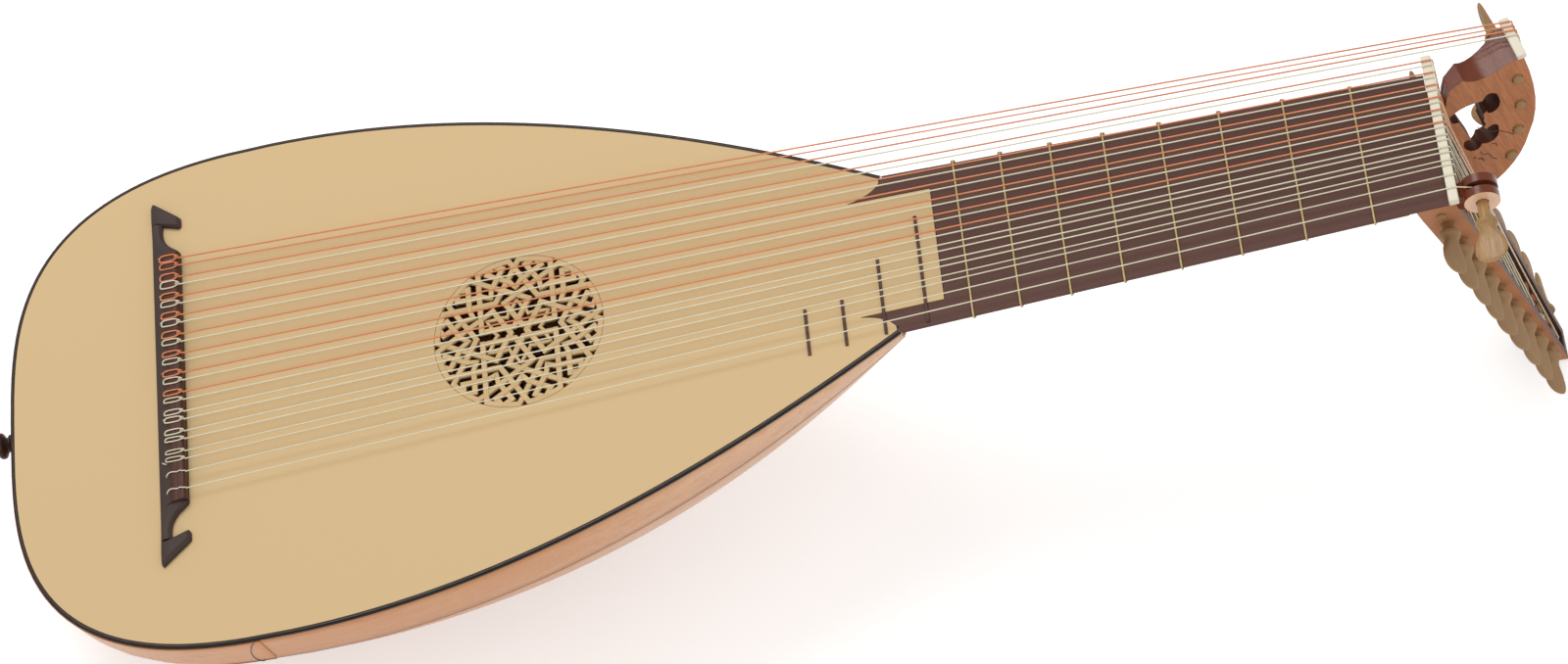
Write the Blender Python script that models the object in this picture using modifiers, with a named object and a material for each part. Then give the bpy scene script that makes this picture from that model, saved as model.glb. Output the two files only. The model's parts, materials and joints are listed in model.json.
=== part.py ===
"""A thirteen-course baroque lute, built as its separate pieces at real size.

Every piece is drawn in the lute's own frame: X runs from the bridge to the nut,
Y to the bass side, and Z up out of the soundboard's top face. The empty "lute"
then lays the whole instrument on its back, on one rib and on the pegbox's end.
"""
import math

import bmesh
import bpy
from mathutils import Matrix, Vector
from mathutils.geometry import delaunay_2d_cdt

MM = 0.001
GAP = 0.3 * MM                      # between pieces that touch
PEG_CLEARANCE = 0.3 * MM            # round a peg in its hole

# Strings
STRING_LENGTH = 700 * MM
BASS_STRING_EXTRA = 50 * MM         # how much longer the bass rider's strings are
STRING_RADIUS = 0.4 * MM
STRING_HEIGHT_AT_BRIDGE = 6.0 * MM
COURSE_PITCH_AT_BRIDGE = 12.78 * MM
COURSE_PITCH_AT_NUT = 8.15 * MM
FIRST_COURSE_Y_AT_BRIDGE = -60.5 * MM
FIRST_COURSE_Y_AT_NUT = -34.8 * MM
SINGLE_COURSE_PITCH = 10.75 * MM    # between the first three courses at the bridge
PAIR_GAP_AT_BRIDGE = 5.0 * MM
PAIR_GAP_AT_NUT = 3.2 * MM
COURSES = 13
SINGLE_COURSES = 2
FIRST_STRING = 24                   # the strings are counted from the bass side
RIDER_COURSES = 2

# Body
PLATE_THICKNESS = 1.8 * MM          # soundboard, edging and fingerboard
TAIL_X = -105.5 * MM
WIDEST_X = 49.1 * MM
JOINT_FRET = 9.645                  # the neck meets the body this many frets from the nut
BODY_HALF_WIDTH = 160.4 * MM
SHOULDER_FULLNESS = 23.2 * MM
TAIL_POWER_ALONG = 2.6              # how square the outline's round end is, along
TAIL_POWER_ACROSS = 3.1             # and across
BOWL_DEPTH = 125 * MM
DEEPEST_X = 123.3 * MM
BACK_FULLNESS = 52.8 * MM
TAIL_ANGLE = 5                      # where the outline's round end starts, in degrees
RIB_COUNT = 11
RIB_THICKNESS = 1.6 * MM
REST_X = 39.5 * MM                  # where the bowl lies on a table
REST_LENGTH = 25 * MM
EDGING_WIDTH = 2.2 * MM
CLASP_END_X = 33.4 * MM
CLASP_HEIGHT = 34 * MM
CLASP_THICKNESS = 0.8 * MM
BUTTON_DROP = 8 * MM
BUTTON_HEAD_RADIUS = 7.5 * MM
BUTTON_STEM_RADIUS = 3.5 * MM
BUTTON_PROJECTION = 11 * MM
BAR_WIDTH = 5 * MM
BAR_HEIGHT = 14 * MM
TAIL_BAR_X = -52 * MM
LOWER_BARS_APART = 56 * MM
BAR_BELOW_ROSE = 23.5 * MM
BAR_ABOVE_ROSE = 19.5 * MM
BAR_BEFORE_BLOCK = 10 * MM
BLOCK_LENGTH = 45 * MM
SCREW_RADIUS = 2.5 * MM
SCREW_HEAD_RADIUS = 5 * MM
SCREW_LENGTH = 85 * MM

# Rose
ROSE_X = 190 * MM
ROSE_RADIUS = 48.5 * MM
RIBBON_WIDTH = 3.1 * MM

# Neck
NUT_HALF_WIDTH = 42.2 * MM
NECK_TAPER = 0.0292                 # half-width gained for each unit of length
NECK_ROUNDNESS = 0.52               # depth over half-width
TONGUE_LENGTH = 25.7 * MM           # of the soundboard's tongue on the neck
TONGUE_HALF_WIDTH = 36.4 * MM
BEARD_LENGTH = 20.5 * MM            # of the fingerboard's points on the soundboard
BEARD_TIP_Y = 37.2 * MM
FRET_RADIUS = 0.5 * MM
TIED_FRETS = 8
WOODEN_FRET_WIDTH = 1.8 * MM
WOODEN_FRET_HEIGHT = 0.9 * MM

# Bridge
BRIDGE_CENTRE_Y = 14.7 * MM
BRIDGE_BLOCK_HALF_LENGTH = 82 * MM
BRIDGE_BACK_X = -18.7 * MM
BRIDGE_STEP_X = -10.6 * MM          # back edge of the flat top, where the slope starts
BRIDGE_FRONT_X = -2.0 * MM
BRIDGE_BASE_HEIGHT = 4.2 * MM       # of the hooked ends
BRIDGE_BLOCK_HEIGHT = 7.0 * MM
BRIDGE_SLOPE_FOOT = 1.2 * MM        # height of the back edge

# Nuts
NUT_THICKNESS = 5.5 * MM
NUT_HEIGHT = 3.3 * MM
NUT_BASS_END = 52.5 * MM
NUT_TREBLE_END = -42.5 * MM
BASS_NUT_LENGTH = 27 * MM
BASS_NUT_SEAT = -1.0 * MM           # height of the rider's top, under the nut
BASS_NUT_SLANT = 4.2 * MM           # the nut's treble end lies this much further out
BASS_COURSES_ASIDE = 5 * MM         # from the nut's middle to the bass side

# Pegbox, measured along it and outwards from the foot of the nut's back
PEGBOX_ANGLE = math.radians(78)
PEGBOX_HALF_WIDTH = 33.4 * MM
PEGBOX_TAPER = 0.098
PEGBOX_FRONT = -5.5 * MM
PEGBOX_FRONT_TAPER = 0.0165
PEGBOX_BROW = -1.0 * MM             # front of the block under the nut
PEGBOX_SHOULDER = 10 * MM           # where the brow has fallen back to the front
PEGBOX_BACK = -27.0 * MM
PEGBOX_BACK_TAPER = 0.024
PEGBOX_WALL = 5 * MM
PEGBOX_FLOOR = 3 * MM
PEGBOX_MOUTH = 4 * MM
PEG_COUNT = 19
FIRST_PEG = 23.9 * MM
PEG_PITCH = 11.32 * MM
PEG_ROW = -16.7 * MM
PEG_ROW_TAPER = 0.011
END_WALL = 5 * MM

# Pegs
PEG_RADIUS = 3.3 * MM
PEG_TAPER = 1 / 60
PEG_NECK = 6 * MM
PEG_HEAD_LENGTH = 25 * MM
PEG_HEAD_WIDTH = 18 * MM
PEG_HEAD_THICKNESS = 6.8 * MM       # where the head leaves its collar; it thins to the end
PEG_COLLAR_RADIUS = 6.3 * MM
PEG_TIP_PROJECTION = 1.4 * MM
PEG_SIDES = 12

# The way each head's broad side lies, as the player left it
TREBLE_HEADS_LIE = (-0.50, 0.0, 0.87)
BASS_HEADS_LIE = (-0.21, 0.0, 0.98)
RIDER_HEADS_LIE = ((0.15, -0.54, 0.83), (0.15, -0.54, 0.83), (0.93, 0.25, 0.28), (0.94, 0.25, 0.23))
CHANTERELLE_HEAD_LIES = (-0.97, 0.0, -0.24)
HEADS_VARY = 0.08

# Bass rider, in the same measures as the pegbox
RIDER_FOOT_THICKNESS = 6 * MM
RIDER_LEAN = 0.25
RIDER_FLARE = 0.36
RIDER_CHEEK = 4.0 * MM
RIDER_SEAT_THICKNESS = 1.8 * MM
RIDER_FOOT_START = 37 * MM
RIDER_FOOT_END = 91 * MM
RIDER_PEGS = 4
FIRST_RIDER_PEG_NECK = 11 * MM      # this peg stands out further than the others

# Chanterelle rider
CHEEK_RADIUS = 9.8 * MM
CHEEK_ALONG = 8.9 * MM
CHEEK_OUT = 10.1 * MM
CHEEK_THICKNESS = 5 * MM
CHEEK_GAP = 3 * MM
CHEEK_INNER_Y = -28.2 * MM
CHANTERELLE_PEG_NECK = 12 * MM

SEAT_Z = -(PLATE_THICKNESS + GAP)   # top of the bowl's rim and of the neck
JOINT_X = STRING_LENGTH * 2 ** (-JOINT_FRET / 12)
NUT_BACK_X = STRING_LENGTH + NUT_THICKNESS + 1.0 * MM


def clear_scene():
    for item in list(bpy.data.objects):
        bpy.data.objects.remove(item, do_unlink=True)


def make_collection(name):
    collection = bpy.data.collections.new(name)
    bpy.context.scene.collection.children.link(collection)
    return collection


def make_material(name, colour, roughness, metallic=0.0):
    material = bpy.data.materials.new(name)
    material.use_nodes = True
    shader = material.node_tree.nodes["Principled BSDF"]
    shader.inputs["Base Color"].default_value = (*colour, 1.0)
    shader.inputs["Roughness"].default_value = roughness
    shader.inputs["Metallic"].default_value = metallic
    material.diffuse_color = (*colour, 1.0)
    return material


clear_scene()
PARTS = make_collection("baroque_lute")
CUTTERS = make_collection("cutters")
LUTE = bpy.data.objects.new("lute", None)
PARTS.objects.link(LUTE)

SPRUCE = make_material("spruce", (0.70, 0.51, 0.27), 0.45)
CHERRY = make_material("cherry", (0.78, 0.40, 0.23), 0.35)
EBONY = make_material("ebony", (0.02, 0.014, 0.012), 0.35)
ROSEWOOD = make_material("rosewood", (0.10, 0.033, 0.022), 0.4)
NECK_WOOD = make_material("neck_wood", (0.55, 0.24, 0.11), 0.35)
BONE = make_material("bone", (0.80, 0.77, 0.66), 0.35)
PEG_WOOD = make_material("peg_wood", (0.33, 0.19, 0.07), 0.5)
PEGBOX_WOOD = make_material("pegbox_wood", (0.48, 0.19, 0.07), 0.4)
GUT = make_material("gut", (0.72, 0.62, 0.40), 0.4)
WOUND = make_material("wound_string", (0.78, 0.32, 0.16), 0.35)
PINE = make_material("pine", (0.62, 0.45, 0.24), 0.6)
STEEL = make_material("steel", (0.5, 0.5, 0.5), 0.4, 1.0)


def add(name, data, material=None, place=None, cutter=False):
    """Link a mesh or curve as one object that rides on the lute's empty."""
    item = bpy.data.objects.new(name, data)
    item.parent = LUTE
    if place is not None:
        item.matrix_local = place
    if cutter:
        CUTTERS.objects.link(item)
        item.hide_render = True
        item.display_type = "WIRE"
    else:
        PARTS.objects.link(item)
        data.materials.append(material)
    return item


def mesh_from(name, shape):
    mesh = bpy.data.meshes.new(name)
    bmesh.ops.recalc_face_normals(shape, faces=shape.faces)
    if shape.calc_volume(signed=True) < 0:
        bmesh.ops.reverse_faces(shape, faces=shape.faces)
    shape.to_mesh(mesh)
    shape.free()
    return mesh


def loft(name, rings, material=None, place=None, cutter=False):
    """A closed solid through rings of points, each ring with the same count.

    Each side is split into two triangles, mirrored about the ring's middle, so
    that a shape and its smaller copy stay parallel where the sides are twisted."""
    shape = bmesh.new()
    rows = [[shape.verts.new(point) for point in ring] for ring in rings]
    count = len(rows[0])
    for row, following in zip(rows, rows[1:]):
        for k in range(count):
            a, b = row[k], row[(k + 1) % count]
            c, d = following[(k + 1) % count], following[k]
            halves = ((a, b, c), (a, c, d)) if k < count // 2 else ((a, b, d), (b, c, d))
            for corners in halves:
                shape.faces.new(corners)
    shape.faces.new(rows[0])
    shape.faces.new(rows[-1])
    return add(name, mesh_from(name, shape), material, place, cutter)


def box(name, low, high, material=None, cutter=False):
    shape = bmesh.new()
    size = Vector(high) - Vector(low)
    middle = (Vector(high) + Vector(low)) / 2
    place = Matrix.Translation(middle) @ Matrix.Diagonal((*size, 1.0))
    bmesh.ops.create_cube(shape, size=1.0, matrix=place)
    return add(name, mesh_from(name, shape), material, cutter=cutter)


def rod(name, start, end, start_radius, end_radius, sides=16, material=None, cutter=False):
    """A straight or tapered round bar between two points."""
    run = Vector(end) - Vector(start)
    turn = run.to_track_quat("Z", "Y").to_matrix().to_4x4()
    place = Matrix.Translation((Vector(start) + Vector(end)) / 2) @ turn
    shape = bmesh.new()
    bmesh.ops.create_cone(shape, cap_ends=True, segments=sides, radius1=start_radius,
                          radius2=end_radius, depth=run.length, matrix=place)
    return add(name, mesh_from(name, shape), material, cutter=cutter)


def flat_piece(name, outline, bottom, top, material=None, cutter=False):
    """A plate between two heights, filled from a flat outline and made a mesh."""
    curve = bpy.data.curves.new(name, "CURVE")
    curve.dimensions = "2D"
    curve.fill_mode = "BOTH"
    curve.extrude = (top - bottom) / 2
    spline = curve.splines.new("POLY")
    spline.points.add(len(outline) - 1)
    for point, (x, y) in zip(spline.points, outline):
        point.co = (x, y, 0.0, 1.0)
    spline.use_cyclic_u = True
    drawn = bpy.data.objects.new(name + "_outline", curve)
    drawn.location.z = (top + bottom) / 2
    CUTTERS.objects.link(drawn)
    bpy.context.view_layer.update()
    mesh = bpy.data.meshes.new_from_object(drawn.evaluated_get(bpy.context.evaluated_depsgraph_get()))
    mesh.name = name
    shape = bmesh.new()
    shape.from_mesh(mesh)
    bmesh.ops.remove_doubles(shape, verts=shape.verts, dist=0.01 * MM)
    bmesh.ops.recalc_face_normals(shape, faces=shape.faces)
    bmesh.ops.transform(shape, matrix=drawn.matrix_world, verts=shape.verts)
    shape.to_mesh(mesh)
    shape.free()
    bpy.data.objects.remove(drawn, do_unlink=True)
    return add(name, mesh, material, cutter=cutter)


def tube(name, points, radius, material, closed=False, place=None):
    curve = bpy.data.curves.new(name, "CURVE")
    curve.dimensions = "3D"
    curve.bevel_depth = radius
    curve.bevel_resolution = 2
    curve.use_fill_caps = not closed
    spline = curve.splines.new("POLY")
    spline.points.add(len(points) - 1)
    for point, position in zip(spline.points, points):
        point.co = (*position, 1.0)
    spline.use_cyclic_u = closed
    return add(name, curve, material, place)


def combine(target, other, operation="DIFFERENCE"):
    change = target.modifiers.new(other.name, "BOOLEAN")
    change.object = other
    change.operation = operation
    change.solver = "EXACT"


def quadratic(start, control, end, steps):
    """Points along a curve that leaves start and reaches end towards control."""
    points = []
    for k in range(steps + 1):
        t = k / steps
        points.append(tuple((1 - t) ** 2 * a + 2 * t * (1 - t) * b + t * t * c
                            for a, b, c in zip(start, control, end)))
    return points


def widened(outline, distance):
    """A closed flat outline moved outwards by a distance; it runs anticlockwise."""
    moved = []
    count = len(outline)
    for k in range(count):
        before, here, after = (Vector(outline[(k + d) % count]) for d in (-1, 0, 1))
        first = (here - before).normalized()
        second = (after - here).normalized()
        normal = Vector((first.y + second.y, -first.x - second.x)).normalized()
        across = max(0.35, normal.dot(Vector((first.y, -first.x))))
        moved.append(tuple(here + normal * distance / across))
    return moved


# The body's outline and depth

def neck_half_width(x):
    return NUT_HALF_WIDTH + NECK_TAPER * (STRING_LENGTH - x)


def neck_depth(x):
    return NECK_ROUNDNESS * neck_half_width(x)


def body_half_width(x):
    if x < WIDEST_X:
        share = (WIDEST_X - x) / (WIDEST_X - TAIL_X)
        return BODY_HALF_WIDTH * max(0.0, 1 - share ** TAIL_POWER_ALONG) ** (1 / TAIL_POWER_ACROSS)
    share = (x - WIDEST_X) / (JOINT_X - WIDEST_X)
    drop = BODY_HALF_WIDTH + SHOULDER_FULLNESS - neck_half_width(JOINT_X)
    return BODY_HALF_WIDTH - drop * share ** 2 + SHOULDER_FULLNESS * share ** 3


def body_depth(x):
    if x < DEEPEST_X:
        share = (DEEPEST_X - x) / (DEEPEST_X - TAIL_X)
        return BOWL_DEPTH * max(0.0, 1 - share ** 2.2) ** (1 / 2.3)
    share = (x - DEEPEST_X) / (JOINT_X - DEEPEST_X)
    drop = BOWL_DEPTH - BACK_FULLNESS - neck_depth(JOINT_X)
    return BOWL_DEPTH - drop * share ** 2 - BACK_FULLNESS * share ** 3


def spread(start, end, steps):
    return [start + (end - start) * k / steps for k in range(steps)]


def body_stations():
    """Stations from tail to neck as (x, half-width, depth, outward normal in plan)."""
    reach = WIDEST_X - TAIL_X
    rest_start = REST_X - REST_LENGTH / 2
    rest_end = REST_X + REST_LENGTH / 2
    last_angle = math.degrees(math.acos(((WIDEST_X - rest_start) / reach) ** (TAIL_POWER_ALONG / 2)))
    xs = [WIDEST_X - reach * math.cos(math.radians(angle)) ** (2 / TAIL_POWER_ALONG)
          for angle in spread(TAIL_ANGLE, last_angle, 9)]
    xs += [rest_start]
    xs += spread(rest_end, JOINT_X, 9)
    xs += [JOINT_X]
    widths = [body_half_width(x) for x in xs]
    stations = []
    for k, (x, width) in enumerate(zip(xs, widths)):
        low = max(k - 1, 0)
        high = min(k + 1, len(xs) - 1)
        run = Vector((xs[high] - xs[low], widths[high] - widths[low])).normalized()
        normal = (-run.y, run.x) if k else (-1.0, 0.0)
        stations.append((x, width, body_depth(x), normal))
    return stations


STATIONS = body_stations()


def edge_points(inset):
    """The outline's bass half, from tail to neck, moved in by a distance."""
    return [(x - inset * nx, width - inset * ny) for x, width, depth, (nx, ny) in STATIONS]


def bowl_solid(name, grow, top=None, past_neck=0.0, material=None, cutter=True):
    """The bowl's filled shape, grown or shrunk, with a flat facet for each rib."""
    rings = []
    stations = [(x + grow * nx, width, depth, ny) for x, width, depth, (nx, ny) in STATIONS[:-1]]
    x, width, depth, (nx, ny) = STATIONS[-1]
    stations.append((x + min(0.0, past_neck), width, depth, ny))
    if past_neck > 0:
        stations.append((x + past_neck, width, depth, ny))
    for along, width, depth, ny in stations:
        ring = []
        for rib in range(RIB_COUNT + 1):
            angle = math.pi * rib / RIB_COUNT
            across = (width + grow * ny) * math.cos(angle)
            down = (depth + grow * ny) * math.sin(angle)
            ring.append((along, across, SEAT_Z - down))
        if top is not None:
            ring = [(along, ring[0][1], top)] + ring + [(along, ring[-1][1], top)]
        rings.append(ring)
    return loft(name, rings, material, cutter=cutter)


def make_bowl():
    bowl = bowl_solid("bowl", 0.0, material=CHERRY, cutter=False)
    hollow = bowl_solid("bowl_hollow", -RIB_THICKNESS, top=10 * MM, past_neck=10 * MM)
    combine(bowl, button_hole("bowl_button_hole"))
    combine(bowl, hollow)


def make_clasp():
    clasp = bowl_solid("end_clasp", GAP + CLASP_THICKNESS, material=CHERRY, cutter=False)
    inside = bowl_solid("clasp_inside", GAP, top=10 * MM, past_neck=10 * MM)
    keep = box("clasp_reach", (TAIL_X - 20 * MM, -BODY_HALF_WIDTH - 20 * MM, SEAT_Z - CLASP_HEIGHT),
               (CLASP_END_X, BODY_HALF_WIDTH + 20 * MM, 10 * MM), cutter=True)
    combine(clasp, keep, "INTERSECT")
    combine(clasp, inside)
    combine(clasp, button_hole("clasp_button_hole"))


def button_hole(name):
    start = (TAIL_X - 10 * MM, 0, -BUTTON_DROP)
    end = (TAIL_X + 10 * MM, 0, -BUTTON_DROP)
    radius = BUTTON_STEM_RADIUS + GAP
    return rod(name, start, end, radius, radius, sides=24, cutter=True)


def make_button():
    """A turned knob whose stem passes through clasp and bowl; +Z points outwards."""
    seat = GAP * 2 + CLASP_THICKNESS
    profile = [(0.0, BUTTON_PROJECTION),
               (0.62 * BUTTON_HEAD_RADIUS, BUTTON_PROJECTION - 0.6 * MM),
               (BUTTON_HEAD_RADIUS, BUTTON_PROJECTION - 3.2 * MM),
               (0.86 * BUTTON_HEAD_RADIUS, BUTTON_PROJECTION - 5.4 * MM),
               (0.60 * BUTTON_HEAD_RADIUS, seat + 1.4 * MM),
               (0.74 * BUTTON_HEAD_RADIUS, seat),
               (BUTTON_STEM_RADIUS, seat),
               (BUTTON_STEM_RADIUS, -7 * MM),
               (0.0, -7 * MM)]
    mesh = bpy.data.meshes.new("end_button")
    mesh.from_pydata([(radius, 0.0, height) for radius, height in profile],
                     [(k, k + 1) for k in range(len(profile) - 1)], [])
    place = Matrix.Translation((TAIL_X, 0, -BUTTON_DROP)) @ Matrix.Rotation(-math.pi / 2, 4, "Y")
    button = add("end_button", mesh, EBONY, place)
    turn = button.modifiers.new("turned", "SCREW")
    turn.steps = 24
    turn.render_steps = 24
    turn.use_merge_vertices = True
    turn.merge_threshold = 0.01 * MM
    turn.use_smooth_shade = False


# The fingerboard, soundboard and edging lie in one plane

def beard(side):
    """The fingerboard's point on one side, from its outer corner to its tip."""
    corner = (JOINT_X, side * neck_half_width(JOINT_X))
    control = (JOINT_X - 3.5 * MM, side * (BEARD_TIP_Y + 2.6 * MM))
    return quadratic(corner, control, (JOINT_X - BEARD_LENGTH, side * BEARD_TIP_Y), 6)


def fingerboard_outline():
    front = STRING_LENGTH + 1.0 * MM - GAP
    outline = [(front, neck_half_width(front))]
    outline += beard(1)
    tongue_end = JOINT_X + TONGUE_LENGTH
    outline += [(tongue_end, TONGUE_HALF_WIDTH), (tongue_end, -TONGUE_HALF_WIDTH)]
    outline += reversed(beard(-1))
    outline += [(front, -neck_half_width(front))]
    return outline


def fingerboard_room(name):
    return flat_piece(name, widened(fingerboard_outline(), GAP), -10 * MM, 10 * MM, cutter=True)


def make_fingerboard():
    flat_piece("fingerboard", fingerboard_outline(), -PLATE_THICKNESS, 0.0, ROSEWOOD)


def make_edging():
    outer = edge_points(0.0)
    inner = edge_points(EDGING_WIDTH)
    outline = list(reversed(outer)) + [(x, -y) for x, y in outer]
    outline += [(x, -y) for x, y in reversed(inner)] + inner
    edging = flat_piece("edging", outline, -PLATE_THICKNESS, 0.0, EBONY)
    combine(edging, fingerboard_room("edging_end"))


def rose_strips():
    """The rose's ribbons as flat strips round its centre, sixfold."""
    strips = []
    half = RIBBON_WIDTH / 2
    lines = [(turn, shift) for turn in (0, 60, 120) for shift in (5.2, -5.2, 25.5, -25.5)]
    lines += [(turn, shift) for turn in (30, 90, 150) for shift in (14.5, -14.5)]
    for turn, shift in lines:
        place = Matrix.Rotation(math.radians(turn), 2)
        reach = ROSE_RADIUS + 2 * MM
        corners = [(-reach, -half), (reach, -half), (reach, half), (-reach, half)]
        strips.append([place @ Vector((x, y + shift * MM)) for x, y in corners])
    return strips


def rose_openings():
    """Prisms through the soundboard wherever the rose's ring is free of ribbons."""
    steps = 48
    ring = [Vector((math.cos(2 * math.pi * k / steps), math.sin(2 * math.pi * k / steps)))
            * (ROSE_RADIUS - RIBBON_WIDTH / 2) for k in range(steps)]
    shapes = [ring] + rose_strips()
    points = []
    faces = []
    for outline in shapes:
        faces.append(list(range(len(points), len(points) + len(outline))))
        points += outline
    result = delaunay_2d_cdt(points, [], faces, 1, 0.01 * MM, True)
    shape = bmesh.new()
    corners = [shape.verts.new((point.x + ROSE_X, point.y, -10 * MM)) for point in result[0]]
    for face, sources in zip(result[2], result[5]):
        if sources == [0]:
            shape.faces.new([corners[k] for k in face])
    bmesh.ops.delete(shape, geom=[v for v in shape.verts if not v.link_faces], context="VERTS")
    bmesh.ops.dissolve_limit(shape, angle_limit=math.radians(1), verts=shape.verts, edges=shape.edges)
    small = [f for f in shape.faces if f.calc_area() < 2.5 * MM * MM]
    bmesh.ops.delete(shape, geom=small, context="FACES")
    raised = bmesh.ops.extrude_face_region(shape, geom=list(shape.faces))
    moved = [g for g in raised["geom"] if isinstance(g, bmesh.types.BMVert)]
    bmesh.ops.translate(shape, verts=moved, vec=(0, 0, 20 * MM))
    return add("rose_openings", mesh_from("rose_openings", shape), cutter=True)


def bar_positions():
    below_rose = ROSE_X - ROSE_RADIUS - BAR_BELOW_ROSE
    above_rose = ROSE_X + ROSE_RADIUS + BAR_ABOVE_ROSE
    before_block = JOINT_X - BLOCK_LENGTH - BAR_BEFORE_BLOCK
    return [TAIL_BAR_X, below_rose - LOWER_BARS_APART, below_rose, above_rose,
            (above_rose + before_block) / 2, before_block]


def soundboard_bars():
    """The bars under the soundboard, glued on, each cut to the bowl's width there."""
    shape = bmesh.new()
    for x in bar_positions():
        inside = min(body_half_width(x + side * BAR_WIDTH) for side in (-1, 1)) - RIB_THICKNESS
        sag = math.sqrt(1 - (BAR_HEIGHT / (body_depth(x) - RIB_THICKNESS)) ** 2)
        reach = inside * sag - 6 * MM
        low = -PLATE_THICKNESS - BAR_HEIGHT
        high = -PLATE_THICKNESS + 0.6 * MM
        place = Matrix.Translation((x, 0, (low + high) / 2))
        size = Matrix.Diagonal((BAR_WIDTH, 2 * reach, high - low, 1.0))
        bmesh.ops.create_cube(shape, size=1.0, matrix=place @ size)
    return add("bars", mesh_from("bars", shape), cutter=True)


def wooden_frets():
    """Four short frets glued on the soundboard, at the ninth to twelfth places.

    The first two reach on over the fingerboard's treble point without touching it."""
    top = WOODEN_FRET_HEIGHT
    sunk = -0.3 * MM
    shape = bmesh.new()
    spans = [(20.0, -35.5, -48.7), (-1.8, -35.5, -51.0), (-23.7, -53.1, -53.1), (-25.0, -54.4, -54.4)]
    for number, (bass, glued_to, treble) in enumerate(spans, start=TIED_FRETS + 1):
        section = [(bass, top), (bass, sunk), (glued_to, sunk)]
        if treble < glued_to:
            section += [(glued_to, GAP), (treble, GAP)]
        section += [(treble, top)]
        ends = []
        for x in (fret_position(number) - WOODEN_FRET_WIDTH / 2, fret_position(number) + WOODEN_FRET_WIDTH / 2):
            ends.append([shape.verts.new((x, y * MM, z)) for y, z in section])
        for k in range(len(section)):
            after = (k + 1) % len(section)
            shape.faces.new((ends[0][k], ends[0][after], ends[1][after], ends[1][k]))
        shape.faces.new(ends[0])
        shape.faces.new(ends[1])
    return add("wooden_frets", mesh_from("wooden_frets", shape), cutter=True)


def make_soundboard():
    inner = edge_points(EDGING_WIDTH + GAP)
    tongue = TONGUE_HALF_WIDTH - GAP
    half = inner + [(JOINT_X, tongue), (JOINT_X + TONGUE_LENGTH - GAP, tongue)]
    outline = list(reversed(half)) + [(x, -y) for x, y in half]
    board = flat_piece("soundboard", outline, -PLATE_THICKNESS, 0.0, SPRUCE)
    combine(board, fingerboard_room("soundboard_notches"))
    combine(board, rose_openings())
    combine(board, soundboard_bars(), "UNION")
    combine(board, wooden_frets(), "UNION")


# Neck, block and screw

def make_neck():
    rings = []
    steps = 12
    for end in (0, 1):
        ring = []
        for k in range(steps + 1):
            t = 1 - 2 * k / steps
            x = JOINT_X + GAP
            for _ in range(4):
                half = neck_half_width(x)
                depth = neck_depth(x)
                radius = (half ** 2 + depth ** 2) / (2 * depth)
                across = t * half
                down = math.sqrt(radius ** 2 - across ** 2) - (radius - depth)
                if end:
                    x = pegbox_back_x(SEAT_Z - down) - GAP
            ring.append((x, across, SEAT_Z - down))
        rings.append(ring)
    neck = loft("neck", rings, NECK_WOOD)
    combine(neck, screw_hole("neck_screw_hole"))


def screw_hole(name):
    start = JOINT_X - BLOCK_LENGTH - 5 * MM
    end = JOINT_X - BLOCK_LENGTH + SCREW_LENGTH + 1 * MM
    radius = SCREW_RADIUS + GAP
    return rod(name, (start, 0, screw_height()), (end, 0, screw_height()), radius, radius, cutter=True)


def screw_height():
    return SEAT_Z - neck_depth(JOINT_X) / 2


def make_block():
    block = bowl_solid("neck_block", -RIB_THICKNESS - GAP, past_neck=-GAP, material=PINE, cutter=False)
    keep = box("block_reach", (JOINT_X - BLOCK_LENGTH, -BODY_HALF_WIDTH, -BOWL_DEPTH),
               (JOINT_X + 20 * MM, BODY_HALF_WIDTH, 20 * MM), cutter=True)
    combine(block, keep, "INTERSECT")
    combine(block, screw_hole("block_screw_hole"))


def make_screw():
    face = JOINT_X - BLOCK_LENGTH - GAP
    height = screw_height()
    profile = [(0.0, -SCREW_LENGTH), (SCREW_RADIUS * 0.6, -SCREW_LENGTH + 2 * MM),
               (SCREW_RADIUS, -SCREW_LENGTH + 7 * MM), (SCREW_RADIUS, 0.0),
               (SCREW_HEAD_RADIUS, 0.0), (SCREW_HEAD_RADIUS, 2.6 * MM), (0.0, 3.4 * MM)]
    mesh = bpy.data.meshes.new("neck_screw")
    mesh.from_pydata([(radius, 0.0, along) for radius, along in reversed(profile)],
                     [(k, k + 1) for k in range(len(profile) - 1)], [])
    place = Matrix.Translation((face, 0, height)) @ Matrix.Rotation(-math.pi / 2, 4, "Y")
    screw = add("neck_screw", mesh, STEEL, place)
    turn = screw.modifiers.new("turned", "SCREW")
    turn.steps = 16
    turn.render_steps = 16
    turn.use_merge_vertices = True
    turn.merge_threshold = 0.01 * MM
    turn.use_smooth_shade = False


# Frets

def fret_position(number):
    return STRING_LENGTH * 2 ** (-number / 12)


def make_frets():
    for number in range(1, TIED_FRETS + 1):
        x = fret_position(number)
        half = neck_half_width(x - 4 * MM)
        depth = neck_depth(x - 4 * MM)
        radius = (half ** 2 + depth ** 2) / (2 * depth)
        away = GAP + FRET_RADIUS
        points = [(0, half + away, away), (0, 0, away), (0, -half - away, away),
                  (0, -half - away, SEAT_Z - away * 0.4)]
        steps = 8
        for k in range(1, steps):
            reach = -half + 2 * half * k / steps
            down = math.sqrt(radius ** 2 - reach ** 2) - (radius - depth)
            slope = reach / (radius - depth + down)
            lift = away * 1.25
            points.append((0, reach + lift * slope, SEAT_Z - down - lift))
        points.append((0, half + away, SEAT_Z - away * 0.4))
        tube(f"fret_{number}", points, FRET_RADIUS, GUT, closed=True, place=Matrix.Translation((x, 0, 0)))


# Pegbox

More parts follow.
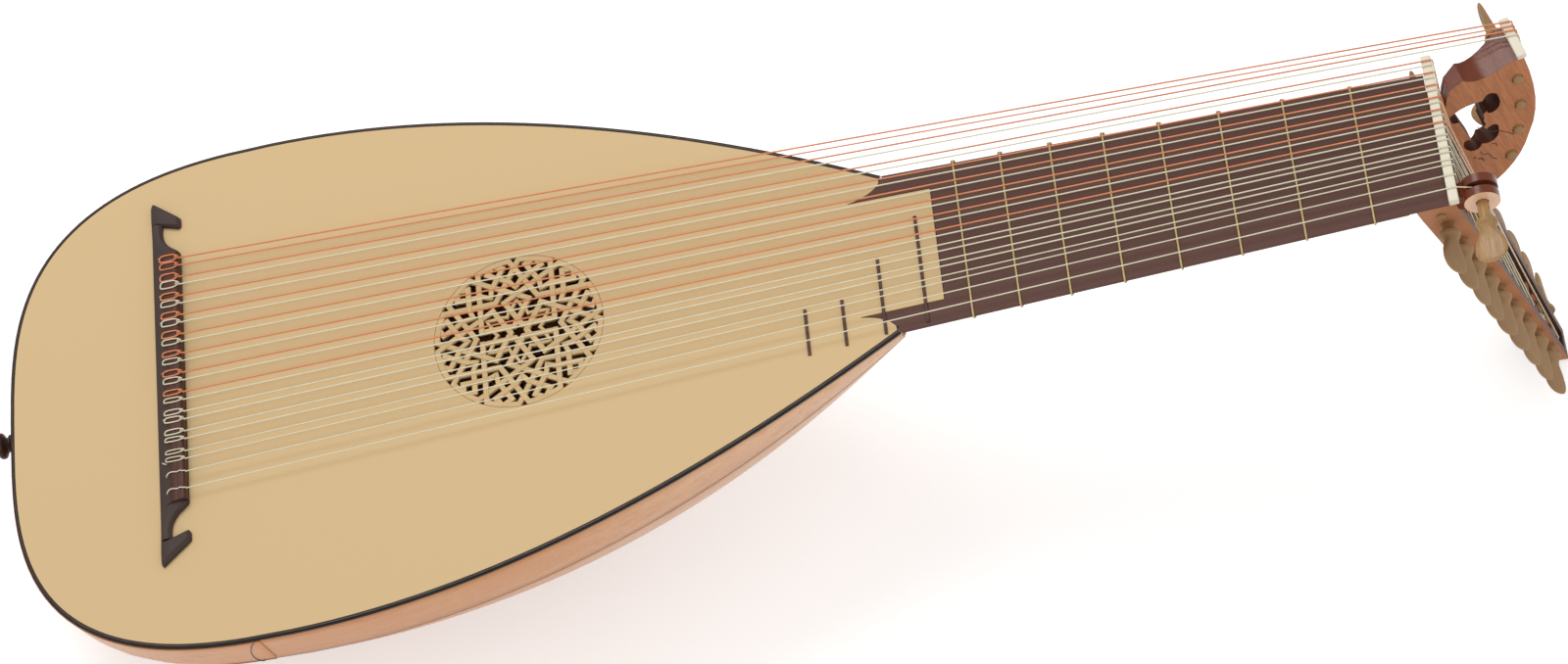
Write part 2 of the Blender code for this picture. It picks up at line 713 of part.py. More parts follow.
def pegbox_point(along, out, y):
    """A point along the pegbox from the nut, outwards from the nut's back."""
    c = math.cos(PEGBOX_ANGLE)
    s = math.sin(PEGBOX_ANGLE)
    return Vector((NUT_BACK_X + along * c + out * s, y, -along * s + out * c))


def pegbox_back_x(z):
    """X of the pegbox's back plane at a height, near the neck."""
    out = PEGBOX_BACK
    along = (out * math.cos(PEGBOX_ANGLE) - z) / math.sin(PEGBOX_ANGLE)
    return pegbox_point(along, out, 0).x


def pegbox_half_width(along):
    return PEGBOX_HALF_WIDTH - PEGBOX_TAPER * along


def pegbox_front(along):
    return PEGBOX_FRONT - PEGBOX_FRONT_TAPER * along


def pegbox_back(along):
    return PEGBOX_BACK + PEGBOX_BACK_TAPER * max(0.0, along - FIRST_PEG)


def rest_slope():
    """Slope of the resting rib facet along the lute; it falls towards the neck."""
    start = REST_X - REST_LENGTH / 2
    end = REST_X + REST_LENGTH / 2
    edge = math.sin(math.pi * (RIB_COUNT // 2) / RIB_COUNT)
    return (body_depth(start) - body_depth(end)) * edge / REST_LENGTH


def rest_height(x):
    """Height of the table's plane under the lute at x, in the lute's own frame."""
    edge = math.sin(math.pi * (RIB_COUNT // 2) / RIB_COUNT)
    start = REST_X - REST_LENGTH / 2
    return SEAT_Z - body_depth(start) * edge + rest_slope() * (x - start)


def along_at_height(out, z):
    """Distance along the pegbox where a line at this distance out reaches a height."""
    return (out * math.cos(PEGBOX_ANGLE) - z) / math.sin(PEGBOX_ANGLE)


def along_at_rest_plane(out_at):
    """Distance along the pegbox where one of its edges meets the table's plane."""
    low = 0.0
    high = 400 * MM
    for _ in range(50):
        middle = (low + high) / 2
        point = pegbox_point(middle, out_at(middle), 0)
        if point.z > rest_height(point.x):
            low = middle
        else:
            high = middle
    return low


def pegbox_ring(front, back, front_along, back_along, inset=0.0):
    ring = []
    for along, out in ((front_along, front), (back_along, back)):
        half = pegbox_half_width(along) - inset
        ring += [(along, out, half), (along, out, -half)]
    first, second, third, fourth = ring
    return [pegbox_point(*corner) for corner in (first, second, fourth, third)]


def peg_along(number):
    return FIRST_PEG + PEG_PITCH * (number - 1)


def peg_out(number):
    return PEG_ROW + PEG_ROW_TAPER * (peg_along(number) - FIRST_PEG)


def make_pegbox():
    front_end = along_at_rest_plane(pegbox_front)
    back_end = along_at_rest_plane(pegbox_back)
    top_front = along_at_height(PEGBOX_BROW, SEAT_Z)
    top_back = along_at_height(PEGBOX_BACK, SEAT_Z)
    middle = FIRST_PEG
    shoulder = PEGBOX_SHOULDER
    rings = [pegbox_ring(PEGBOX_BROW, PEGBOX_BACK, top_front, top_back),
             pegbox_ring(pegbox_front(shoulder), PEGBOX_BACK, shoulder, shoulder),
             pegbox_ring(pegbox_front(middle), pegbox_back(middle), middle, middle),
             pegbox_ring(pegbox_front(front_end), pegbox_back(back_end), front_end, back_end)]
    pegbox = loft("pegbox", rings, PEGBOX_WOOD)
    last = front_end - END_WALL
    mouth = top_front + PEGBOX_MOUTH
    above = 20 * MM
    cavity = [pegbox_ring(PEGBOX_FRONT + above, PEGBOX_BACK + PEGBOX_FLOOR, mouth, mouth + 10 * MM, PEGBOX_WALL),
              pegbox_ring(pegbox_front(middle) + above, pegbox_back(middle) + PEGBOX_FLOOR,
                          middle, middle, PEGBOX_WALL),
              pegbox_ring(pegbox_front(last) + above, pegbox_back(last) + PEGBOX_FLOOR, last, last, PEGBOX_WALL)]
    combine(pegbox, loft("pegbox_cavity", cavity, cutter=True))
    for number in range(1, PEG_COUNT + 1):
        combine(pegbox, peg_hole(f"peg_hole_{number}", *main_peg_line(number)))


# Pegs: each runs from the face its head stands on to past the far face

def main_peg_line(number):
    """Seat on the head's side and far face of one pegbox peg, odd ones bass-headed."""
    side = 1 if number % 2 else -1
    along = peg_along(number)
    half = pegbox_half_width(along)
    near = pegbox_point(along, peg_out(number), side * half)
    far = pegbox_point(along, peg_out(number), -side * half)
    return near, far


def peg_hole(name, near, far):
    run = far - near
    past = 8 * MM
    start = near - run.normalized() * past
    end = far + run.normalized() * past
    start_radius = PEG_RADIUS + PEG_CLEARANCE + past * PEG_TAPER
    end_radius = PEG_RADIUS + PEG_CLEARANCE - (run.length + past) * PEG_TAPER
    return rod(name, start, end, start_radius, end_radius, sides=PEG_SIDES, cutter=True)


def head_sections(neck):
    """Distance from the seat, half-width and half-thickness along a head, collar first."""
    collar = PEG_COLLAR_RADIUS
    shares = [(0.14, 0.61, 1.20), (0.23, 0.57, 1.0), (0.34, 0.68, 0.90), (0.48, 0.88, 0.77), (0.66, 0.99, 0.60),
              (0.76, 1.0, 0.50), (0.88, 0.88, 0.40), (0.96, 0.64, 0.32), (1.0, 0.30, 0.22)]
    sections = [(neck, collar * 0.90, collar * 0.86), (neck + 0.8 * MM, collar, collar * 0.92),
                (neck + 2.8 * MM, collar * 0.95, collar * 0.80)]
    return sections + [(neck + share * PEG_HEAD_LENGTH, wide * PEG_HEAD_WIDTH / 2, deep * PEG_HEAD_THICKNESS / 2)
                       for share, wide, deep in shares]


def make_peg(name, near, far, neck, broad):
    """One peg with its origin on its axis at the seat; local +Z points to the head."""
    length = (far - near).length + PEG_TIP_PROJECTION
    tip = PEG_RADIUS - length * PEG_TAPER
    at_neck = PEG_RADIUS + neck * PEG_TAPER
    sections = [(-length, tip, tip), (neck - 0.2 * MM, at_neck, at_neck)] + head_sections(neck)
    rings = []
    for height, wide, deep in sections:
        ring = []
        for k in range(PEG_SIDES):
            angle = 2 * math.pi * k / PEG_SIDES
            ring.append((wide * math.cos(angle), deep * math.sin(angle), height))
        rings.append(ring)
    outward = (near - far).normalized()
    across = (Vector(broad) - outward * outward.dot(Vector(broad))).normalized()
    facing = Matrix((across, outward.cross(across), outward)).transposed().to_4x4()
    loft(name, rings, PEG_WOOD, Matrix.Translation(near) @ facing)


def head_lies(number):
    """The direction of one pegbox peg's broad side, a little different for each."""
    lies = Vector(BASS_HEADS_LIE if number % 2 else TREBLE_HEADS_LIE)
    return lies + Vector((HEADS_VARY * math.sin(2.4 * number), 0.0, 0.0))


def make_pegs():
    for number in range(1, PEG_COUNT + 1):
        near, far = main_peg_line(number)
        make_peg(f"peg_{number:02d}", near, far, PEG_NECK, head_lies(number))
    for number in range(1, RIDER_PEGS + 1):
        near, far = rider_peg_line(number)
        neck = FIRST_RIDER_PEG_NECK if number == 1 else PEG_NECK
        make_peg(f"bass_rider_peg_{number}", near, far, neck, RIDER_HEADS_LIE[number - 1])
    near, far = chanterelle_peg_line()
    make_peg("chanterelle_peg", near, far, CHANTERELLE_PEG_NECK, CHANTERELLE_HEAD_LIES)


# Bass rider: flat, leaning to the bass side, and thicker towards its outer edge

def rider_face(along, out):
    """Y of the rider's treble face, which stands on the pegbox's bass wall."""
    foot = pegbox_half_width(along) - PEGBOX_WALL + GAP
    return foot + RIDER_LEAN * (out - PEGBOX_FRONT)


def rider_normal():
    """Unit vector across the rider, towards the bass side."""
    along = pegbox_point(1, 0, -PEGBOX_TAPER) - pegbox_point(0, 0, 0)
    out = pegbox_point(0, 1, RIDER_LEAN) - pegbox_point(0, 0, 0)
    normal = along.cross(out).normalized()
    return normal if normal.y > 0 else -normal


def rider_thickness(out):
    return RIDER_FOOT_THICKNESS + RIDER_FLARE * (out - PEGBOX_FRONT)


def rider_across():
    """The level direction through the rider's thickness, towards the bass side."""
    normal = rider_normal()
    return Vector((normal.x, normal.y, 0.0)).normalized()


def rider_point(along, out, depth):
    """A point at a depth behind the rider's treble face."""
    return pegbox_point(along, out, rider_face(along, out)) + rider_across() * depth


def rider_solid(name, outline, cheek=0.0, material=None, cutter=True):
    """A prism between the rider's two faces, or between its cheeks' inner faces."""
    treble = [rider_point(along, out, cheek) for along, out in outline]
    bass = [rider_point(along, out, rider_thickness(out) - cheek) for along, out in outline]
    return loft(name, [treble, bass], material, cutter=cutter)


def seat_point(x):
    """A place on the treble edge of the bass nut's level seat, in the pegbox's measures."""
    c = math.cos(PEGBOX_ANGLE)
    s = math.sin(PEGBOX_ANGLE)
    shift = x - NUT_BACK_X
    return (shift * c - BASS_NUT_SEAT * s, shift * s + BASS_NUT_SEAT * c)


def seat_middle_x():
    """X of the bass nut's middle line at the rider's treble face."""
    return STRING_LENGTH + BASS_STRING_EXTRA + BASS_NUT_SLANT


def rider_outline():
    """Crescent outline from the foot up the inner side, over the seat and back down."""
    below = 4 * MM
    start = (RIDER_FOOT_START, pegbox_front(RIDER_FOOT_START) - below)
    end = (RIDER_FOOT_END, pegbox_front(RIDER_FOOT_END) - below)
    inner = quadratic((33 * MM, -5 * MM), (12 * MM, -2 * MM), (5 * MM, 5.5 * MM), 4)
    corner = (3.5 * MM, 14 * MM)
    swoop = quadratic(corner, (13 * MM, 20 * MM), seat_point(seat_middle_x() - NUT_THICKNESS / 2 - 5 * MM), 6)
    outer_start = seat_point(seat_middle_x() + NUT_THICKNESS / 2 - 1.6 * MM)
    outer = quadratic(outer_start, (50 * MM, 46 * MM), (67.3 * MM, 30.7 * MM), 6)
    lower = quadratic((67.3 * MM, 30.7 * MM), (84 * MM, 20 * MM), (89 * MM, 2 * MM), 5)
    return [start] + inner + swoop + outer + lower[1:] + [end]


def rider_peg_place(number):
    """The four pegs follow the rider's outer edge."""
    places = quadratic((24.1 * MM, 39.1 * MM), (54 * MM, 33 * MM), (76 * MM, 16.4 * MM), RIDER_PEGS - 1)
    return places[number - 1]


def rider_peg_line(number):
    along, out = rider_peg_place(number)
    far = rider_point(along, out, 0.0)
    return far + rider_normal() * rider_thickness(out), far


def piercing_outline():
    """Outline of the rider's one piercing: a lobe in each corner, with points between them."""
    inner = quadratic((24.2 * MM, -1.8 * MM), (20.6 * MM, 7 * MM), (25.7 * MM, 17.6 * MM), 5)
    lobe_a = quadratic((25.7 * MM, 17.6 * MM), (19.8 * MM, 22.6 * MM), (26.3 * MM, 25.9 * MM), 5)
    lobe_a += quadratic((26.3 * MM, 25.9 * MM), (37.4 * MM, 26.6 * MM), (37.7 * MM, 19.6 * MM), 5)[1:]
    lobe_a += quadratic((37.7 * MM, 19.6 * MM), (37 * MM, 16 * MM), (34.3 * MM, 17.1 * MM), 4)[1:]
    bracket = [(35.4 * MM, 14.5 * MM), (38.5 * MM, 13.9 * MM), (40.3 * MM, 12.7 * MM),
               (43.2 * MM, 13 * MM), (44.6 * MM, 11.3 * MM)]
    lobe_b = quadratic((47.3 * MM, 12 * MM), (45.2 * MM, 17 * MM), (49.1 * MM, 18.3 * MM), 4)
    lobe_b += quadratic((49.1 * MM, 18.3 * MM), (57.4 * MM, 17.2 * MM), (58.1 * MM, 12.1 * MM), 5)[1:]
    lobe_b += quadratic((58.1 * MM, 12.1 * MM), (58.6 * MM, 8.8 * MM), (55.8 * MM, 6.1 * MM), 3)[1:]
    lobe_c = quadratic((55.8 * MM, 6.1 * MM), (60 * MM, 3.4 * MM), (56.9 * MM, -0.8 * MM), 4)[1:]
    lobe_c += quadratic((56.9 * MM, -0.8 * MM), (52 * MM, -4.8 * MM), (47.6 * MM, -1.6 * MM), 5)[1:]
    lobe_c += quadratic((47.6 * MM, -1.6 * MM), (46.8 * MM, 1.2 * MM), (49 * MM, 2.3 * MM), 2)[1:]
    lobe_d = quadratic((31.1 * MM, 1.4 * MM), (30.8 * MM, -2.2 * MM), (27.6 * MM, -2.2 * MM), 3)
    return inner[:-1] + lobe_a + bracket + lobe_b + lobe_c + lobe_d


def pegbox_room(name):
    """The space taken by the pegbox below its front edge, for what stands on that edge."""
    deep = 60 * MM
    inside = -20 * MM
    top = along_at_height(PEGBOX_BROW, SEAT_Z + GAP)
    fronts = [(top, PEGBOX_BROW), (PEGBOX_SHOULDER, pegbox_front(PEGBOX_SHOULDER)),
              (RIDER_FOOT_END + 20 * MM, pegbox_front(RIDER_FOOT_END + 20 * MM))]
    rings = [pegbox_ring(out + 1.5 * GAP, out - deep, along, along, inside) for along, out in fronts]
    return loft(name, rings, cutter=True)


def make_bass_rider():
    rider = rider_solid("bass_rider", rider_outline(), material=PEGBOX_WOOD, cutter=False)
    combine(rider, pegbox_room("bass_rider_foot_plane"))
    top = seat_point(seat_middle_x())[0] + RIDER_SEAT_THICKNESS
    channel = [(top, 33.5 * MM), (top, 60 * MM), (100 * MM, 60 * MM), (88 * MM, 12 * MM),
               (74 * MM, 9.5 * MM), (58 * MM, 19.5 * MM), (40 * MM, 27.5 * MM), (24 * MM, 31.5 * MM)]
    combine(rider, rider_solid("rider_channel", channel, RIDER_CHEEK))
    combine(rider, rider_solid("rider_piercing", piercing_outline(), -10 * MM))
    for number in range(1, RIDER_PEGS + 1):
        combine(rider, peg_hole(f"rider_peg_hole_{number}", *rider_peg_line(number)))


# Chanterelle rider

def chanterelle_peg_line():
    outer = CHEEK_INNER_Y - 2 * CHEEK_THICKNESS - CHEEK_GAP
    return pegbox_point(CHEEK_ALONG, CHEEK_OUT, outer), pegbox_point(CHEEK_ALONG, CHEEK_OUT, CHEEK_INNER_Y)


def make_chanterelle_rider():
    near, far = chanterelle_peg_line()
    rider = rod("chanterelle_rider", near, far, CHEEK_RADIUS, CHEEK_RADIUS, 24, PEGBOX_WOOD)
    wall = -pegbox_half_width(CHEEK_ALONG)
    foot_along = CHEEK_ALONG + 3 * MM
    foot_out = pegbox_front(foot_along + 8 * MM) - 2 * MM
    foot = [pegbox_point(foot_along - 7 * MM, foot_out, wall + PEGBOX_WALL),
            pegbox_point(foot_along + 8 * MM, foot_out, wall + PEGBOX_WALL),
            pegbox_point(foot_along + 8 * MM, foot_out, wall),
            pegbox_point(foot_along - 7 * MM, foot_out, wall)]
    neck_out = CHEEK_OUT - 4 * MM
    neck = [pegbox_point(CHEEK_ALONG - 6 * MM, neck_out, far.y - 0.2 * MM),
            pegbox_point(CHEEK_ALONG + 6 * MM, neck_out, far.y - 0.2 * MM),
            pegbox_point(CHEEK_ALONG + 6 * MM, neck_out, near.y + 0.2 * MM),
            pegbox_point(CHEEK_ALONG - 6 * MM, neck_out, near.y + 0.2 * MM)]
    combine(rider, loft("chanterelle_stem", [foot, neck], cutter=True), "UNION")
    slot_low = near.y + CHEEK_THICKNESS
    slot_high = slot_low + CHEEK_GAP
    slot = [[pegbox_point(CHEEK_ALONG - 20 * MM, CHEEK_OUT - 5 * MM, y),
             pegbox_point(CHEEK_ALONG + 20 * MM, CHEEK_OUT - 5 * MM, y),
             pegbox_point(CHEEK_ALONG + 20 * MM, CHEEK_OUT + 20 * MM, y),
             pegbox_point(CHEEK_ALONG - 20 * MM, CHEEK_OUT + 20 * MM, y)] for y in (slot_low, slot_high)]
    combine(rider, loft("chanterelle_slot", slot, cutter=True))
    combine(rider, pegbox_room("chanterelle_foot_plane"))
    combine(rider, peg_hole("chanterelle_peg_hole", near, far))


# Nuts

def make_nuts():
    front = STRING_LENGTH + 1.0 * MM
    top = NUT_HEIGHT
    nut = box("nut", (front, NUT_TREBLE_END, SEAT_Z + GAP), (front + NUT_THICKNESS, NUT_BASS_END, top), BONE)
    edge = nut.modifiers.new("rounded", "BEVEL")
    edge.width = 0.8 * MM
    edge.segments = 2
    shape = bmesh.new()
    size = Matrix.Diagonal((NUT_THICKNESS, BASS_NUT_LENGTH, top - BASS_NUT_SEAT - GAP, 1.0))
    bmesh.ops.create_cube(shape, size=1.0, matrix=size)
    middle = bass_nut_middle()
    middle.z = (top + BASS_NUT_SEAT + GAP) / 2
    across = rider_across()
    turn = Matrix.Rotation(math.atan2(-across.x, across.y), 4, "Z")
    bass_nut = add("bass_nut", mesh_from("bass_nut", shape), BONE, Matrix.Translation(middle) @ turn)
    edge = bass_nut.modifiers.new("rounded", "BEVEL")
    edge.width = 0.8 * MM
    edge.segments = 2


def bass_nut_middle():
    along, out = seat_point(seat_middle_x())
    return rider_point(along, out, rider_thickness(out) / 2)


# Bridge

def scroll(side):
    """The hooked end of the bridge on one side, from the front edge round to the back."""
    end = BRIDGE_CENTRE_Y + side * BRIDGE_BLOCK_HALF_LENGTH
    steps = [(-2.0, 0.0), (-4.4, 2.5), (-8.6, 6.2), (-11.4, 11.0), (-12.4, 16.0), (-12.2, 20.8), (-2.6, 17.6),
             (-1.4, 19.0), (-1.4, 24.0), (-17.6, 37.5), (-18.7, 36.0), (-18.7, 0.0)]
    return [(x * MM, end + side * y * MM) for x, y in steps]


def bridge_slope():
    """What is planed off the back of the bridge, from the flat top down to its back edge."""
    fall = (BRIDGE_BLOCK_HEIGHT - BRIDGE_SLOPE_FOOT) / (BRIDGE_STEP_X - BRIDGE_BACK_X)
    past = 2 * MM
    low = BRIDGE_SLOPE_FOOT - past * fall
    high = BRIDGE_BLOCK_HEIGHT + past * fall
    above = 20 * MM
    corners = [(BRIDGE_BACK_X - past, low), (BRIDGE_STEP_X + past, high),
               (BRIDGE_STEP_X + past, above), (BRIDGE_BACK_X - past, above)]
    ends = [[(x, y, z) for x, z in corners] for y in (-BODY_HALF_WIDTH, BODY_HALF_WIDTH)]
    return loft("bridge_slope", ends, cutter=True)


def make_bridge():
    outline = scroll(-1)[::-1] + scroll(1)
    bridge = flat_piece("bridge", outline, GAP, BRIDGE_BASE_HEIGHT, EBONY)
    inside = 0.2 * MM
    block = box("bridge_block", (BRIDGE_BACK_X + inside, BRIDGE_CENTRE_Y - BRIDGE_BLOCK_HALF_LENGTH, 2 * MM),
                (BRIDGE_FRONT_X - inside, BRIDGE_CENTRE_Y + BRIDGE_BLOCK_HALF_LENGTH, BRIDGE_BLOCK_HEIGHT),
                cutter=True)
    combine(bridge, block, "UNION")
    combine(bridge, bridge_slope())


# Strings: one unbroken tube for each course, looped over the bridge

def course_y(course, first, pitch, single_pitch):
    """Y of a course's centre, counted from the first on the treble side."""
    singles = min(course - 1, SINGLE_COURSES)
    return first + single_pitch * singles + pitch * (course - 1 - singles)


def string_ends(course):
    """Bridge and nut places of each string in a course, bass side first."""
    at_bridge = course_y(course, FIRST_COURSE_Y_AT_BRIDGE, COURSE_PITCH_AT_BRIDGE, SINGLE_COURSE_PITCH)
    if course > COURSES - RIDER_COURSES:
        at_nut = bass_nut_middle().y + BASS_COURSES_ASIDE + (course - COURSES + 0.5) * 1.9 * PAIR_GAP_AT_NUT
        nut_x = STRING_LENGTH + BASS_STRING_EXTRA
    else:
        at_nut = course_y(course, FIRST_COURSE_Y_AT_NUT, COURSE_PITCH_AT_NUT, COURSE_PITCH_AT_NUT)
        nut_x = STRING_LENGTH
    if course <= SINGLE_COURSES:
        return [(at_bridge, at_nut, nut_x)]
    return [(at_bridge + side * PAIR_GAP_AT_BRIDGE / 2, at_nut + side * PAIR_GAP_AT_NUT / 2, nut_x)
            for side in (1, -1)]


# Strings counted from the bass side, the pegbox peg each winds on, and Y of its end
PEG_OF_STRING = {5: (5, -17.0), 6: (4, -10.0), 7: (3, -4.0), 8: (2, 3.0), 9: (6, 14.0), 10: (1, 9.5),
                 11: (8, 11.5), 12: (10, 9.0), 13: (16, 4.0), 14: (17, 2.2), 15: (18, 0.5), 16: (19, -1.5),
                 17: (15, -3.6), 18: (14, -5.6), 19: (13, -7.8), 20: (12, -9.8), 21: (11, -12.0),
                 22: (9, -14.4), 23: (7, -16.8)}
DOUBLY_WOUND = {9}                  # this string ends on a second layer of its own turns


def string_route(number, at_bridge, at_nut, nut_x):
    """Points from the back of the bridge over it and the nut to the peg."""
    lift = STRING_RADIUS + GAP
    over = BRIDGE_BLOCK_HEIGHT + lift
    nut_top = NUT_HEIGHT + lift
    points = [(BRIDGE_STEP_X + 0.6 * MM, at_bridge, over),
              (BRIDGE_FRONT_X + lift * 0.5, at_bridge, over),
              (BRIDGE_FRONT_X + lift * 1.2, at_bridge, STRING_HEIGHT_AT_BRIDGE)]
    if number <= RIDER_PEGS:
        return points + rider_run(number, at_nut, nut_top)
    points.append((nut_x + 1.6 * MM, at_nut, nut_top))
    points += over_nut_edge(NUT_BACK_X, at_nut, nut_top)
    if number == FIRST_STRING:
        near, far = chanterelle_peg_line()
        slot = near.y + CHEEK_THICKNESS + CHEEK_GAP / 2
        touch = Vector((0.5, 0.0, 0.87)) * peg_surface()
        return points + [tuple(pegbox_point(CHEEK_ALONG, CHEEK_OUT, slot) + touch)]
    peg_number, y = PEG_OF_STRING[number]
    away = peg_surface() + (3 * STRING_RADIUS + GAP if number in DOUBLY_WOUND else 0.0)
    peg = pegbox_point(peg_along(peg_number), peg_out(peg_number) + away, y * MM)
    return points + past_nut(points[-1], peg, NUT_BACK_X + lift, SEAT_Z) + [tuple(peg)]


def over_nut_edge(back_x, y, top):
    """Two points that take a string round a nut's back edge."""
    lift = STRING_RADIUS + GAP
    return [(back_x - lift, y, top), (back_x + lift, y, top - lift)]


def past_nut(last, peg, clear_x, height):
    """A point straight below a nut's back edge where the way to the peg would cut it."""
    share = (last[2] - height) / (last[2] - peg.z)
    straight = Vector(last).lerp(peg, share)
    return [] if straight.x > clear_x else [(clear_x, straight.y, height)]


def peg_surface():
    """Distance of a string from the axis of the peg it lies on."""
    return PEG_RADIUS + STRING_RADIUS + 2 * GAP


def rider_run(number, at_nut, nut_top):
    """From the bass nut down the rider's channel, outside the pegs passed, to its own."""
    middle = bass_nut_middle()
    across = rider_across()
    line_x = middle.x + (at_nut - middle.y) * across.x / across.y
    half = NUT_THICKNESS / 2 / across.y
    points = [(line_x - half + 1 * MM, at_nut, nut_top)] + over_nut_edge(line_x + half, at_nut, nut_top)
    clear = STRING_RADIUS + 2 * GAP
    points.append((line_x + half + clear, at_nut - 1.2 * MM, BASS_NUT_SEAT - 0.4 * MM))
    own = RIDER_PEGS + 1 - number
    outward = pegbox_point(0, 1, 0) - pegbox_point(0, 0, 0)
    for passed in range(1, own + 1):
        near, far = rider_peg_line(passed)
        away = peg_surface() + (0.6 * MM if passed < own else 0.0)
        depth = (9.4 - 0.35 * passed) * MM + 2.5 * MM * (own - passed)
        points.append(tuple(far + rider_normal() * depth + outward * away))
    return points


def make_strings():
    number = 0
    for course in range(COURSES, 0, -1):
        routes = []
        for at_bridge, at_nut, nut_x in string_ends(course):
            number += 1
            routes.append(string_route(number, at_bridge, at_nut, nut_x))
        points = list(reversed(routes[0]))
        if len(routes) == 2:
            points += routes[1]
        material = WOUND if course > 5 else GUT
        tube(f"course_{course:02d}", points, STRING_RADIUS, material)


def lay_on_table():
    """Turn the empty so that the resting rib and the pegbox's end lie at height 0."""
    LUTE.rotation_euler = (0.0, math.atan(rest_slope()), 0.0)
    bpy.context.view_layer.update()
    touch = LUTE.matrix_world @ Vector((REST_X, 0, rest_height(REST_X)))
    LUTE.location = -touch


def smooth_round_pieces():
    for item in PARTS.objects:
        if item.type == "MESH":
            item.data.shade_smooth()
            item.data.set_sharp_from_angle(angle=math.radians(35))


make_bowl()
make_clasp()
make_button()
make_fingerboard()
make_edging()
make_soundboard()
make_neck()
make_block()
make_screw()
make_frets()
make_pegbox()
make_pegs()
make_bass_rider()
make_chanterelle_rider()
make_nuts()
make_bridge()
make_strings()
lay_on_table()
smooth_round_pieces()
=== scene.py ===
"""The looks of the baroque lute, dressed over its fixed frame.

Pieces are drawn in the lute's own frame, in metres: X from the bridge to the nut,
Y to the bass side and Z up out of the soundboard's top face.
"""
import json
import math

import bmesh
import bpy
from mathutils import Euler, Matrix, Vector


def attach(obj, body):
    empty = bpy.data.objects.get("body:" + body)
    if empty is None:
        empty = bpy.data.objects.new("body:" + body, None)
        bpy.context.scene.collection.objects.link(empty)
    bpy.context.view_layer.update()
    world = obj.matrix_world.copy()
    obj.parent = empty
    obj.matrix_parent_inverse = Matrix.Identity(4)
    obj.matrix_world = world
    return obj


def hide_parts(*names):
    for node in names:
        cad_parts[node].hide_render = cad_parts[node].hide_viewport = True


bl_info = {
    "name": "Baroque lute looks",
    "version": (1, 0, 0),
    "blender": (4, 5, 0),
    "location": "3D View > Sidebar > Lute",
    "description": "Dresses the lute's pieces with wood, bone, gut and carving",
    "category": "Object",
}

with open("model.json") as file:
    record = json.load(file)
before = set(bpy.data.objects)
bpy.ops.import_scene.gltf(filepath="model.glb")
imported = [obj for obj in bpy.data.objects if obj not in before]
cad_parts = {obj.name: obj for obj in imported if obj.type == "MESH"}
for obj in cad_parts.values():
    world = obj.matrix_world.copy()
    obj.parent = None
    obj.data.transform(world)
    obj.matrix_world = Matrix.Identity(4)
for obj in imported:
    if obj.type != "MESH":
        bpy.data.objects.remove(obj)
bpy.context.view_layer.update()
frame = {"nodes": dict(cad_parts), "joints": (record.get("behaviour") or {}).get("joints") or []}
JOINTS = {joint["name"]: joint for joint in frame["joints"]}
MM = 0.001

# The lute's own measures, the same as in its source
STRING_LENGTH = 700 * MM
TAIL_X = -105.5 * MM
WIDEST_X = 49.1 * MM
JOINT_X = 401 * MM
BODY_HALF_WIDTH = 160.4 * MM
SHOULDER_FULLNESS = 23.2 * MM
BOWL_DEPTH = 125 * MM
DEEPEST_X = 123.3 * MM
BACK_FULLNESS = 52.8 * MM
RIBS = 11
REST_START = 27 * MM
REST_END = 52 * MM
NUT_HALF_WIDTH = 42.2 * MM
NECK_TAPER = 0.0292
NECK_ROUNDNESS = 0.52
BOARD = 1.8 * MM
GAP = 0.3 * MM
RIM_Z = -(BOARD + GAP)
EDGING_WIDTH = 2.2 * MM
CLASP_END_X = 33.4 * MM
CLASP_DEPTH = 31.9 * MM
TONGUE_END_X = 426.7 * MM
TONGUE_HALF_WIDTH = 36.4 * MM
BEARD_TIP = (380.5 * MM, 37.2 * MM)
ROSE_X = 190 * MM
BAR_PLACES = (-52, 62, 118, 258, 302, 346)
BODY_FRETS = ((20.0, -48.7), (-1.8, -51.0), (-23.7, -53.1), (-25.0, -54.4))
TAIL_POWER_ALONG = 2.6
TAIL_POWER_ACROSS = 3.1
BRIDGE_CENTRE_Y = 14.7
BRIDGE_HALF_LENGTH = 82.0
BRIDGE_BACK = -18.7
BRIDGE_STEP = -10.6
BRIDGE_FRONT = -2.0
BRIDGE_TOP = 7.0
BUTTON_DROP = 8 * MM
NUT_BACK_X = 706.5 * MM
PEGBOX_ANGLE = math.radians(78)
COURSES = 13
PEG_RADIUS = 3.3 * MM
PEG_TAPER = 1 / 60


def lute_place():
    """The lute's own frame in the world, read from the frame's nut and fingerboard."""
    run = Vector(JOINTS["fret_1_slide"]["axis"])
    turn = Matrix.Rotation(-math.atan2(run.z, run.x), 4, "Y")
    back = turn.inverted()
    nut_front = min((back @ v.co).x for v in frame["nodes"]["nut"].data.vertices)
    top = max((back @ v.co).z for v in frame["nodes"]["fingerboard"].data.vertices)
    return turn @ Matrix.Translation((nut_front - STRING_LENGTH - 1 * MM, 0, top))


LUTE = lute_place()
TO_LUTE = LUTE.inverted()
TILT = math.atan2(LUTE[2][0], LUTE[0][0])


# What a user may change

def colour(name, description, value):
    return bpy.props.FloatVectorProperty(name=name, description=description, default=value,
                                         subtype="COLOR", size=3, min=0, max=1)


def length(name, description, millimetres):
    return bpy.props.FloatProperty(name=name, description=description, default=millimetres * MM,
                                   unit="LENGTH", min=0)


